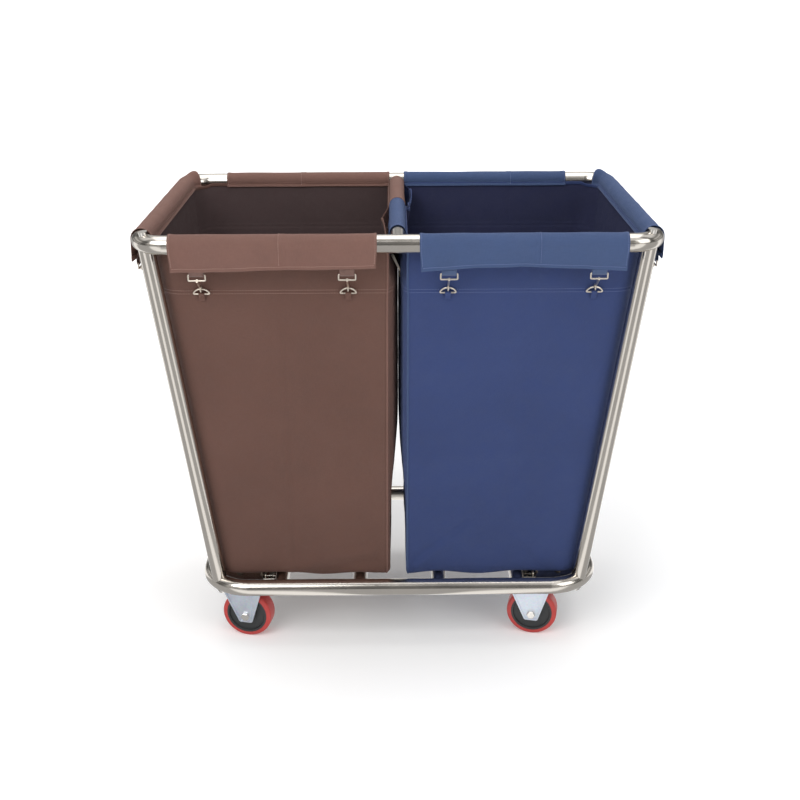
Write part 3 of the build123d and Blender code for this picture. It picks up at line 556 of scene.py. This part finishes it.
def bag_body(colour, side):
    """One continuous shell: floor, rounded bottom edge, four walls and a hem turned down inside."""
    bend_r = BOTTOM_BEND
    wall_z = np.concatenate([
        np.linspace(FLOOR_Z + bend_r, 0.732, 68),
        np.arange(0.7345, 0.7600, 0.0019),
        np.linspace(0.765, TOP_Z, 11),
    ])
    swing = np.radians([0, 22, 45, 68])
    rise = np.concatenate([FLOOR_Z + bend_r * (1 - np.cos(swing)), wall_z])
    inset = np.concatenate([bend_r * (1 - np.sin(swing)), 0 * wall_z])
    a, y, out_a, out_y = bag_ring(colour, (rise - FLOOR_Z) / (TOP_Z - FLOOR_Z))
    top = TOP_Z - hem_dip(colour, y[-1])
    z = np.repeat(rise[:, None], a.shape[1], 1)
    z = np.where(z > KNEE_Z, KNEE_Z + (z - KNEE_Z) * (top - KNEE_Z) / (TOP_Z - KNEE_Z), z)
    stand = bag_slack(colour, a, y, z) - inset[:, None]
    a, y = a + stand * out_a, y + stand * out_y

    turn = np.radians([50, 100, 140, 180])
    inward = np.concatenate([FOLD_R * (1 - np.cos(turn)), np.full(3, 2 * FOLD_R)])
    lift = np.concatenate([FOLD_R * np.sin(turn), [-0.002, -0.0035, -0.005]])
    a = np.concatenate([a, a[-1] - inward[:, None] * out_a])
    y = np.concatenate([y, y[-1] - inward[:, None] * out_y])
    z = np.concatenate([z, z[len(rise) - 1] + lift[:, None]])

    middle = (mix(*FOOT_A, 0.5), 0.0)
    spread = np.array([0.05, 0.15, 0.28, 0.41, 0.54, 0.67, 0.79, 0.88, 0.95])[:, None]
    floor_a, floor_y = mix(middle[0], a[0], spread), mix(middle[1], y[0], spread)
    from_bar = (floor_a - OUTER_BAR_A) / BAR_PITCH
    droop = np.where(floor_a < OUTER_BAR_A, 0.5 - 0.5 * np.cos(2 * math.pi * from_bar), 0)
    floor_z = FLOOR_Z - FLOOR_DROOP * droop * (1 - spread**3)
    edge_bar = (a[0] - OUTER_BAR_A) / BAR_PITCH
    between_bars = 0.5 - 0.5 * np.cos(2 * math.pi * edge_bar)
    edge = np.where(a[0] < OUTER_BAR_A, between_bars, 0.35 * ease(edge_bar / 0.5))
    low = bell(z - FLOOR_Z, 0.03)
    z = z - HEM_DROOP * low * edge
    points = np.stack([
        side * np.concatenate([floor_a, a]),
        np.concatenate([floor_y, y]),
        np.concatenate([floor_z, z]),
    ], -1)

    around = lengths_along(np.concatenate([points[60], points[60][:1]])[None], 1)
    up = lengths_along(points, 0)[:, [20]]
    uv = np.stack(np.broadcast_arrays(around, up), -1)
    droop_middle = 0.5 - 0.5 * math.cos(2 * math.pi * (middle[0] - OUTER_BAR_A) / BAR_PITCH)
    pole = (side * middle[0], 0.0, FLOOR_Z - FLOOR_DROOP * droop_middle)
    piece = grid_piece(f"{colour}_bag_body", points, uv, wrap=True, flip=side < 0, pole=pole)
    # Its inner face takes the darker inside canvas: coating colour with painted shade.
    thicken(piece, CANVAS_T, -1, coated_shaded_lining=True)
    ready(piece, "frame", f"{colour}_canvas", cloth[colour]["canvas"], cloth[colour]["coated_shaded_lining"])
    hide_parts(f"{colour}_bag")
    normals = np.stack([side * out_a, out_y, 0 * out_a], -1)
    return points[len(spread):], normals


# ---------------------------------------------------------------- piping and thread
def piping(path, radius):
    """A corded edge carried up a corner: a circle of twelve points at each point of the path."""
    angle = np.linspace(0, 2 * math.pi, 13)[:-1]
    circle = np.stack([np.cos(angle), np.sin(angle), 0 * angle], -1)
    points = path[:, None] + radius * circle[None]
    u = np.linspace(0, 2 * math.pi * radius, 13)[None, :]
    v = lengths_along(path, 0)[:, None]
    return points, np.stack(np.broadcast_arrays(u, v), -1)


def stitch_places(path, normals, pitch=STITCH_PITCH):
    """Evenly spaced places along a line on the cloth, with the line's direction and the cloth's."""
    travelled = lengths_along(path, 0)
    count = int(travelled[-1] / pitch)
    at = (np.arange(count) + 0.5) * travelled[-1] / count
    place = np.stack([np.interp(at, travelled, path[:, k]) for k in range(3)], -1)
    out = np.stack([np.interp(at, travelled, normals[:, k]) for k in range(3)], -1)
    ahead = np.stack([np.interp(at + pitch / 4, travelled, path[:, k]) for k in range(3)], -1)
    behind = np.stack([np.interp(at - pitch / 4, travelled, path[:, k]) for k in range(3)], -1)
    along = ahead - behind
    along /= np.linalg.norm(along, axis=1, keepdims=True)
    out -= along * (out * along).sum(1, keepdims=True)
    out /= np.linalg.norm(out, axis=1, keepdims=True)
    return place, along, out


def thread_piece(name, colour, runs):
    """Every stitch is a short five-sided bead, thick in the middle, lying half in the cloth."""
    station = np.array([-1.0, -0.72, 0.72, 1.0])
    girth = np.array([0.35, 1.0, 1.0, 0.35])
    angle = 2 * math.pi * np.arange(5) / 5
    bead = np.stack([
        np.repeat(station * STITCH_HALF, 5),
        np.outer(girth, np.cos(angle)).ravel() * STITCH_R,
        np.outer(girth, np.sin(angle)).ravel() * STITCH_R,
    ], -1)
    i, j = np.meshgrid(np.arange(3), np.arange(5), indexing="ij")
    i, j = i.ravel(), j.ravel()
    k = (j + 1) % 5
    sides = np.stack([i * 5 + j, i * 5 + k, (i + 1) * 5 + k, (i + 1) * 5 + j], 1)
    place, along, out = (np.concatenate(group) for group in zip(*runs))
    across = np.cross(along, out)
    seat = place + out * (STITCH_R * 0.35)
    points = (
        seat[:, None]
        + along[:, None] * bead[None, :, :1]
        + across[:, None] * bead[None, :, 1:2]
        + out[:, None] * bead[None, :, 2:]
    )
    start = 20 * np.arange(len(seat))[:, None, None]
    faces = (start + sides[None, :, ::-1]).reshape(-1, 4).tolist()
    caps = np.stack([np.arange(5), np.arange(19, 14, -1)])
    faces += (start + caps[None]).reshape(-1, 5).tolist()
    piece = make_mesh(name, points, faces)
    return ready(piece, "frame", f"{colour}_canvas", cloth[colour]["thread"])


# ---------------------------------------------------------------- flaps
def straight_rail(start, end, spacing=0.0026):
    """Evenly spaced points between two places on a rail."""
    start, end = np.array(start, float), np.array(end, float)
    count = int(np.linalg.norm(end - start) / spacing) + 1
    return mix(start, end, np.linspace(0, 1, count)[:, None])


def side_rail(side, low, high, wrap_degrees):
    """Along the side rail and a little way round the rear bend, with the outward directions."""
    line = straight_rail((side * TOP_HALF[0], low, TOP_Z), (side * TOP_HALF[0], high, TOP_Z))
    angle = np.radians(np.linspace(0, wrap_degrees, 18)[1:])
    centre = np.array([TOP_HALF[0] - TOP_BEND, TOP_HALF[1] - TOP_BEND])
    bend = np.stack([
        side * (centre[0] + TOP_BEND * np.cos(angle)),
        centre[1] + TOP_BEND * np.sin(angle),
        np.full(len(angle), TOP_Z),
    ], -1)
    out = np.concatenate([
        np.tile([side, 0.0, 0.0], (len(line), 1)),
        np.stack([side * np.cos(angle), np.sin(angle), 0 * angle], -1),
    ])
    return np.concatenate([line, bend]), out


def flap(name, colour, path, outward, radius, seed, hooks, seam=None, slope=0.0, bow=0.0, dome=None):
    """Canvas laid over a rail.

    Its profile runs up the inside of the bag from a sewn edge, over the rail in a half circle,
    down to the hem, round it and up behind. The profile is carried along the rail; the hem waves,
    is drawn in at the hooks, and its ends and its middle seam are thicker.
    """
    along = lengths_along(path, 0)
    length = along[-1]
    lay = radius + CLOTH_GAP + FLAP_T
    pull = sum(bell(along - at, 0.017) for at in hooks)
    ends = ease((HEM_WIDTH - along) / 0.003 + 0.5) + ease((along - length + HEM_WIDTH) / 0.003 + 0.5)
    doubled = 0.0006 * ends
    if seam is not None:
        doubled = doubled + 0.0006 * ease((0.0045 - np.abs(along - seam)) / 0.002 + 0.5)
        doubled = doubled - 0.0007 * bell(along - seam, 0.0012)
    drop = FLAP_DROP + 0.0012 * ripple(along, 0 * along, seed, 0.20) + 0.0010 * pull
    drop = drop + slope * (along / length - 0.5) + bow * ((2 * along / length - 1) ** 2 - 0.5)

    up = np.linspace(-FACING, -0.0015, 6)[:, None]
    tucked = 0.0027 * ease((-up - 0.001) / 0.006)
    inner_o = -(lay + tucked + doubled * 0.4) + 0 * along
    inner_z = up + 0 * along + 0.0006 * ripple(along, 0 * along, seed + 1, 0.09) * ease(-up / 0.02)
    arc = np.linspace(math.pi, 0, 25)[:, None]
    over = lay + doubled + 0.0003 * ripple(along, 0 * along, seed + 2, 0.07)
    if dome is not None:
        over = over + DOME_LIFT * bell(along - dome, 0.0115) * np.sin(arc) ** 3
    over_o, over_z = over * np.cos(arc), over * np.sin(arc)
    s = np.linspace(0, 1, 19)[1:, None]
    hang = 0.0021 * ripple(along, s * 0.03, seed + 3, 0.095)
    hang = hang + 0.0006 * ripple(along, s * 0.04, seed + 4, 0.03)
    hem_step = 0.0005 * ease((s * drop - drop + HEM_WIDTH) / 0.002 + 0.5)
    down_o = lay + doubled + s**1.3 * (hang - 0.0016 * pull + 0.0012) + hem_step + 0.0003 * (1 - s)
    down_z = -s * drop
    turn = np.radians([45, 90, 135, 180])[:, None]
    edge_o, edge_z = down_o[-1:], down_z[-1:]
    under_o = edge_o - FOLD_R * (1 - np.cos(turn))
    under_z = edge_z - FOLD_R * np.sin(turn)
    back_z = edge_z + np.array([0.003, 0.005, HEM_WIDTH])[:, None]
    back_o = edge_o - 2 * FOLD_R + 0 * back_z

    o = np.concatenate([inner_o, over_o, down_o, under_o, back_o])
    z = np.concatenate([inner_z, over_z, down_z, under_z, back_z])
    points = path[None] + o[..., None] * outward[None] + z[..., None] * Z_UP
    squeeze = 0.0022 * ease((-z - 0.004) / 0.034) * ease((o - 0.2 * radius) / (0.5 * radius))
    reach = squeeze * (ease((0.05 - along) / 0.05) - ease((along - length + 0.05) / 0.05))
    step = np.gradient(path, axis=0)
    step /= np.linalg.norm(step, axis=1, keepdims=True)
    points = points + reach[..., None] * step[None]
    flip = bool(np.cross(step[0], outward[0])[2] < 0)
    uv = np.stack(np.broadcast_arrays(along[None, :], lengths_along(points, 0)[:, [len(along) // 2]]), -1)
    piece = grid_piece(name, points, uv, flip=flip)
    thicken(piece, FLAP_T, 0)
    # The flap takes the lighter copy of the canvas: painted light.
    ready(piece, "frame", f"{colour}_canvas", cloth[colour]["facing"])

    normals = np.cross(np.gradient(points, axis=1), np.gradient(points, axis=0)) * (-1 if flip else 1)
    normals /= np.linalg.norm(normals, axis=2, keepdims=True)
    skin = points + normals * (FLAP_T / 2)
    first_down = len(up) + len(arc)
    hem_row = first_down + int(np.argmin(np.abs(-down_z[:, 0] - (drop[0] - HEM_STITCH))))
    runs = [stitch_places(skin[hem_row, 1:-1], normals[hem_row, 1:-1])]
    runs.append(stitch_places(skin[1, 1:-1], normals[1, 1:-1]))
    for column in (1, -2):
        runs.append(stitch_places(skin[2:hem_row, column], normals[2:hem_row, column]))
    if seam is not None:
        column = int(np.argmin(np.abs(along - seam - 0.0032)))
        runs.append(stitch_places(skin[2:hem_row, column], normals[2:hem_row, column]))
    return piece, runs


# ---------------------------------------------------------------- webbing
def hook_places(radius, wall, lean):
    """Where a flap's strap, eye and D-ring are, outwards from the rail's centre and up from it.

    The D-ring's bar lies where the stem, at its own length, just reaches the ring's crown.
    """
    strap_o = radius + CLOTH_GAP - SLIP
    eye_o, eye_z = strap_o - BARREL_R, -FLAP_DROP - STRAP_LENGTH
    from_upright = RING_LEAN + math.atan(lean)
    rise, run = RING_STANDS * math.cos(from_upright), RING_STANDS * math.sin(from_upright)
    stand_off = BARREL_R + SLIP + CLOTH_GAP / 2
    a, b = eye_o + wall - stand_off - run, eye_z - EYE_DEPTH - rise
    m, k = a * lean + b, 1 + lean * lean
    ring_z = (m - math.sqrt(m * m - k * (a * a + b * b - STEM_REACH**2))) / k
    return eye_o, eye_z, -wall + lean * ring_z + stand_off, ring_z


def band(origin, out, profile, width):
    """A flat strip: a line of (outwards, up) points made smooth and carried across the strip's width."""
    profile = np.array(profile)
    steps = lengths_along(profile, 0)
    at = np.linspace(0, steps[-1], 46)
    o, z = (np.interp(at, steps, profile[:, k]) for k in (0, 1))
    w = np.linspace(-width / 2, width / 2, 9)
    crown = 0.00012 * (1 - (2 * w / width) ** 8)
    out = np.array(out, float)
    across = np.cross(Z_UP, out)
    points = (
        np.array(origin)[None, None]
        + (o[:, None] + crown[None, :])[..., None] * out
        + z[:, None, None] * Z_UP
        + w[None, :, None] * across
    )
    uv = np.stack(np.broadcast_arrays(w[None, :], at[:, None]), -1)
    return points, uv


def round_bar(centre_o, centre_z, radius, start, end):
    """Points on a circle about a bar, from one angle in degrees to another."""
    angle = np.radians(np.linspace(start, end, 13))
    return list(zip(centre_o + radius * np.cos(angle), centre_z + radius * np.sin(angle)))


def strap_profile(eye_o, eye_z, top_o, top_z):
    """Down from under the hem, round the eye's bar and up again against itself."""
    r = WIRE_R + SLIP + STRAP_T / 2
    front = [(top_o, top_z), (mix(top_o, eye_o + r, 0.6), mix(top_z, eye_z, 0.35))]
    front += [(eye_o + r, mix(top_z, eye_z, 0.75))]
    back = [(mix(eye_o - r, top_o - STRAP_T, 0.7), mix(eye_z, top_z, 0.45)), (top_o - STRAP_T, top_z)]
    return front + round_bar(eye_o, eye_z, r, 0, -180) + back


def tab_profile(ring_o, ring_z, lean):
    """Up the bag's wall, over the D-ring's bar and down again on top of itself."""
    r = WIRE_R + SLIP + STRAP_T / 2
    foot = ring_z - TAB_HEIGHT
    behind = ring_o - r - TAB_HEIGHT * lean
    before = ring_o - r + STRAP_T + 0.0001 - TAB_HEIGHT * lean
    top = round_bar(ring_o, ring_z, r, 180, 0)
    return [(behind, foot)] + top + [(mix(before, ring_o + r, 0.35), ring_z - 0.005), (before, foot)]


def merged(name, strips, thickness, colour, finish="webbing"):
    """Several strips as one piece, each with its own cloth coordinates."""
    points, faces, corner_uv, start = [], [], [], 0
    for strip, uv in strips:
        rows, cols = strip.shape[:2]
        i, j = np.meshgrid(np.arange(rows - 1), np.arange(cols - 1), indexing="ij")
        i, j = i.ravel(), j.ravel()
        quad = np.stack([i * cols + j, i * cols + j + 1, (i + 1) * cols + j + 1, (i + 1) * cols + j], 1)
        points.append(strip.reshape(-1, 3))
        faces += (start + quad).tolist()
        corners = np.stack([uv[i, j], uv[i, j + 1], uv[i + 1, j + 1], uv[i + 1, j]], 1)
        corner_uv.append(corners.reshape(-1, 2))
        start += rows * cols
    piece = make_mesh(name, np.concatenate(points), faces, np.concatenate(corner_uv))
    thicken(piece, thickness, 0)
    return ready(piece, "frame", f"{colour}_webbing", cloth[colour][finish])


# ---------------------------------------------------------------- one bag with all that is sewn to it
def sew_bag(colour, side):
    walls, normals = bag_body(colour, side)
    seam_runs = []
    for height in SEAM_ROWS:
        row = int(np.argmin(np.abs(walls[:, 0, 2] - height)))
        loop = np.concatenate([walls[row], walls[row][:1]])
        seam_runs.append(stitch_places(loop, np.concatenate([normals, normals[:1]]), BAND_PITCH))
    thread_piece(f"{colour}_band_stitching", colour, seam_runs)

    wall_rows = int(np.argmax(walls[:, 0, 2]))
    corner_strips = {}
    for corner, share in (("inner_front", 0.62), ("inner_back", 0.38)):
        column = int(np.argmin(np.abs(np.where(part_of == corner, share_of, 9) - share)))
        path = walls[2 : wall_rows - 1, column] + 0.0006 * normals[column]
        corner_strips[corner] = piping(path, PIPING_R)
    for corner, (points, uv) in corner_strips.items():
        edge = grid_piece(f"{colour}_piping_{corner}", points, uv, wrap=True)
        # The piping takes the lighter copy of the canvas: painted light.
        ready(edge, "frame", f"{colour}_canvas", cloth[colour]["facing"])

    y_rail = TOP_HALF[1]
    seam_a, cross = MIDDLE_SEAM_A[colour], CROSS_SPAN[colour]
    plans = {}
    for name, facing, span in (("front", -1, FRONT_SPAN[colour]), ("back", 1, BACK_SPAN[colour])):
        y = facing * y_rail
        path = straight_rail((side * span[0], y, TOP_Z), (side * span[1], y, TOP_Z))
        out = np.tile([0.0, facing, 0.0], (len(path), 1))
        hooks = [a - span[0] for a in FLAP_HOOK_A]
        hang = (HEM_SLOPE[colour], HEM_BOW[colour]) if name == "front" else (0.0015, 0.001)
        plans[name] = (path, out, RAIL_R, hooks, seam_a - span[0], *hang, None)
    path, out = side_rail(side, -SIDE_FLAP_HALF, SIDE_FLAP_HALF, REAR_WRAP)
    dome = 2 * SIDE_FLAP_HALF + TOP_BEND * math.radians(45)
    side_hooks = [y + SIDE_FLAP_HALF for y in SIDE_HOOK_Y]
    plans["side"] = (path, out, RAIL_R, side_hooks, None, 0.0, 0.0, dome)
    path = straight_rail((0, cross[0], TOP_Z), (0, cross[1], TOP_Z))
    out = np.tile([-float(side), 0.0, 0.0], (len(path), 1))
    plans["crossbar"] = (path, out, CROSSBAR_R, [CROSS_HOOK_Y[colour] - cross[0]], None, 0.0, 0.0, None)

    flaps, runs = [], []
    for number, (name, plan) in enumerate(plans.items()):
        path, out, radius, hooks, seam, *hang = plan
        seed = 100 + 7 * number + (50 if side > 0 else 0)
        piece, sewn = flap(f"{colour}_{name}_flap", colour, path, out, radius, seed, hooks, seam, *hang)
        flaps.append(piece)
        runs += sewn
    thread_piece(f"{colour}_flap_stitching", colour, runs)
    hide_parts(f"{colour}_flaps")

    height = TOP_Z - FLOOR_Z
    lean_y = (MOUTH_HALF_Y - FOOT_HALF_Y) / height
    lean_a = (MOUTH_A[1] - FOOT_A[1]) / height
    lean_in = (FOOT_A[0] - MOUTH_A[0]) / height
    wall = RAIL_R + CLOTH_GAP
    spots = [((side * a, -y_rail), (0, -1, 0), RAIL_R, wall, lean_y) for a in FLAP_HOOK_A]
    spots += [((side * a, y_rail), (0, 1, 0), RAIL_R, wall, lean_y) for a in FLAP_HOOK_A]
    spots += [((side * TOP_HALF[0], y), (side, 0, 0), RAIL_R, wall, lean_a) for y in SIDE_HOOK_Y]
    spots.append(((0, CROSS_HOOK_Y[colour]), (-side, 0, 0), CROSSBAR_R, MOUTH_A[0], lean_in))
    straps, tabs = [], []
    for (x, y), out, radius, wall_o, lean in spots:
        eye_o, eye_z, ring_o, ring_z = hook_places(radius, wall_o, lean)
        origin = (x, y, TOP_Z)
        profile = strap_profile(eye_o, eye_z, radius - 0.0028, STRAP_HIDDEN - FLAP_DROP)
        straps.append(band(origin, out, profile, STRAP_WIDTH))
        tabs.append(band(origin, out, tab_profile(ring_o, ring_z, lean), TAB_WIDTH))
    for end in (-1, 1):
        origin = (side * TIE_A, end * TIE_Y, BASE_Z)
        top = (0.0011, FLOOR_Z - BASE_Z + 0.0006)
        straps.append(band(origin, (0, end, 0), strap_profile(0, 0, *top), STRAP_WIDTH))
    strap_piece = merged(f"{colour}_hook_straps", straps, WEBBING_T, colour)
    merged(f"{colour}_ring_tabs", tabs, WEBBING_T, colour, "canvas")
    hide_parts(f"{colour}_straps")


for colour, side in SIDES.items():
    sew_bag(colour, side)


# ---------------------------------------------------------------- floor, light and camera
def soft_light(name, place, target, size, power):
    """A rectangular lamp that faces a target."""
    light = bpy.data.lights.new(name, "AREA")
    light.shape = "RECTANGLE"
    light.size, light.size_y = size
    light.energy = power
    lamp = bpy.data.objects.new(name, light)
    bpy.context.scene.collection.objects.link(lamp)
    aim = np.array(target, float) - np.array(place, float)
    forward = aim / np.linalg.norm(aim)
    right = np.cross(forward, Z_UP)
    right /= np.linalg.norm(right)
    up = np.cross(right, forward)
    turn = Matrix((right, up, -forward)).transposed().to_4x4()
    lamp.matrix_world = Matrix.Translation(place) @ turn


SCREENS = 5.0  # darker stretches round the room, in what polished metal reflects


def pale_floor():
    """A pale disc that glows more further out, so that it runs into the plain background.

    Reflections see light and darker sectors on it, as they would see the things in a room.
    """
    floor_r = np.array([1.0, 4.0, 30.0])[:, None]
    angle = np.linspace(0, 2 * math.pi, 65)[:-1][None, :]
    points = np.stack([floor_r * np.cos(angle), floor_r * np.sin(angle), 0 * floor_r * angle], -1)
    uv = np.zeros((3, 65, 2))
    floor = grid_piece("studio_floor", points, uv, wrap=True, flip=True, pole=(0, 0, 0))
    paint = Finish("pale floor", Roughness=0.9, Specular_IOR_Level=0.1)
    tree, link = paint.tree, paint.tree.links.new
    distance = tree.nodes.new("ShaderNodeVectorMath")
    distance.operation = "LENGTH"
    link(paint.place.outputs["Object"], distance.inputs[0])
    glow = paint.sum("MULTIPLY_ADD", distance.outputs["Value"], 0.16)
    glow.node.inputs[2].default_value = 0.10
    clouds = paint.spread(paint.noise("Object", 0.8), 0, 1)
    tone = paint.blend(clouds, (0.90, 0.90, 0.90, 1), (0.93, 0.93, 0.93, 1))
    paint.wire(Base_Color=tone, Emission_Color=(1, 1, 1, 1), Emission_Strength=glow)
    floor.data.materials.append(paint.material)
    split = tree.nodes.new("ShaderNodeSeparateXYZ")
    link(paint.place.outputs["Object"], split.inputs[0])
    bearing = paint.sum("ARCTAN2", split.outputs["Y"], split.outputs["X"])
    sectors = paint.spread(paint.sum("SINE", paint.sum("MULTIPLY", bearing, SCREENS)), 0.55, 1.35)
    mirrored = tree.nodes.new("ShaderNodeEmission")
    link(sectors, mirrored.inputs["Color"])
    path = tree.nodes.new("ShaderNodeLightPath")
    either = tree.nodes.new("ShaderNodeMixShader")
    link(path.outputs["Is Glossy Ray"], either.inputs[0])
    link(paint.shader.outputs["BSDF"], either.inputs[1])
    link(mirrored.outputs[0], either.inputs[2])
    link(either.outputs[0], tree.nodes["Material Output"].inputs["Surface"])


def room_around():
    """Plain white behind everything, and a room with screens for what lights it and is reflected."""
    world = bpy.data.worlds.new("studio")
    bpy.context.scene.world = world
    world.use_nodes = True
    tree = world.node_tree
    tree.nodes.clear()
    link = tree.links.new
    place = tree.nodes.new("ShaderNodeTexCoord")
    split = tree.nodes.new("ShaderNodeSeparateXYZ")
    link(place.outputs["Generated"], split.inputs[0])
    ramp = tree.nodes.new("ShaderNodeValToRGB")
    # Brightness of the room from straight down, 0, over the horizon, 0.5, to straight up, 1.
    stops = ((0.0, 0.08), (0.490, 0.05), (0.515, 0.05), (0.545, 0.85), (0.60, 0.12))
    stops += ((0.66, 0.90), (0.74, 0.20), (0.84, 1.0))
    ramp.color_ramp.elements[0].position = stops[0][0]
    ramp.color_ramp.elements[0].color = (stops[0][1],) * 3 + (1,)
    ramp.color_ramp.elements[1].position = stops[-1][0]
    ramp.color_ramp.elements[1].color = (stops[-1][1],) * 3 + (1,)
    for position, value in stops[1:-1]:
        element = ramp.color_ramp.elements.new(position)
        element.color = (value, value * 0.99, value * 0.97, 1)
    # The direction's height, -1 to 1, to 0 to 1.
    half = tree.nodes.new("ShaderNodeMath")
    half.operation = "MULTIPLY_ADD"
    link(split.outputs["Z"], half.inputs[0])
    half.inputs[1].default_value = 0.5
    half.inputs[2].default_value = 0.5
    link(half.outputs[0], ramp.inputs["Fac"])
    # Five darker screens stand round the room.
    bearing = tree.nodes.new("ShaderNodeMath")
    bearing.operation = "ARCTAN2"
    link(split.outputs["Y"], bearing.inputs[0])
    link(split.outputs["X"], bearing.inputs[1])
    swing = tree.nodes.new("ShaderNodeMath")
    swing.operation = "MULTIPLY"
    link(bearing.outputs[0], swing.inputs[0])
    swing.inputs[1].default_value = SCREENS
    wave = tree.nodes.new("ShaderNodeMath")
    wave.operation = "SINE"
    link(swing.outputs[0], wave.inputs[0])
    screens = tree.nodes.new("ShaderNodeMapRange")
    link(wave.outputs[0], screens.inputs["Value"])
    screens.inputs["From Min"].default_value = -0.75
    screens.inputs["From Max"].default_value = -0.25
    screens.inputs["To Min"].default_value = 0.30
    screens.inputs["To Max"].default_value = 1.0
    panels = tree.nodes.new("ShaderNodeVectorMath")
    panels.operation = "SCALE"
    link(ramp.outputs["Color"], panels.inputs[0])
    link(screens.outputs[0], panels.inputs["Scale"])
    room = tree.nodes.new("ShaderNodeBackground")
    link(panels.outputs["Vector"], room.inputs["Color"])
    room.inputs["Strength"].default_value = 1.0
    plain = tree.nodes.new("ShaderNodeBackground")
    plain.inputs["Color"].default_value = (1, 1, 1, 1)
    plain.inputs["Strength"].default_value = 1.0
    seen = tree.nodes.new("ShaderNodeLightPath")
    either = tree.nodes.new("ShaderNodeMixShader")
    link(seen.outputs["Is Camera Ray"], either.inputs[0])
    link(room.outputs[0], either.inputs[1])
    link(plain.outputs[0], either.inputs[2])
    output = tree.nodes.new("ShaderNodeOutputWorld")
    link(either.outputs[0], output.inputs["Surface"])


def add_camera():
    lens = bpy.data.cameras.new("camera")
    lens.lens = 51.17
    lens.sensor_width = 36.0
    camera = bpy.data.objects.new("camera", lens)
    bpy.context.scene.collection.objects.link(camera)
    turn = Matrix.Rotation(math.radians(-0.30), 4, "Z")
    tilt = Matrix.Rotation(math.radians(67.88), 4, "X")
    roll = Matrix.Rotation(math.radians(-0.25), 4, "Z")
    place = Matrix.Translation((-0.0074, -2.110, 1.308))
    camera.matrix_world = place @ turn @ tilt @ roll
    bpy.context.scene.camera = camera


pale_floor()
soft_light("key", (-1.6, -2.6, 3.0), (0, 0, 0.4), (2.4, 2.0), 64)
soft_light("fill", (2.4, -2.2, 2.0), (0, 0, 0.4), (2.0, 2.0), 26)
soft_light("top", (0, 0.4, 3.4), (0, 0, 0), (3.0, 3.0), 42)
room_around()
add_camera()
bpy.context.scene.view_settings.view_transform = "Standard"
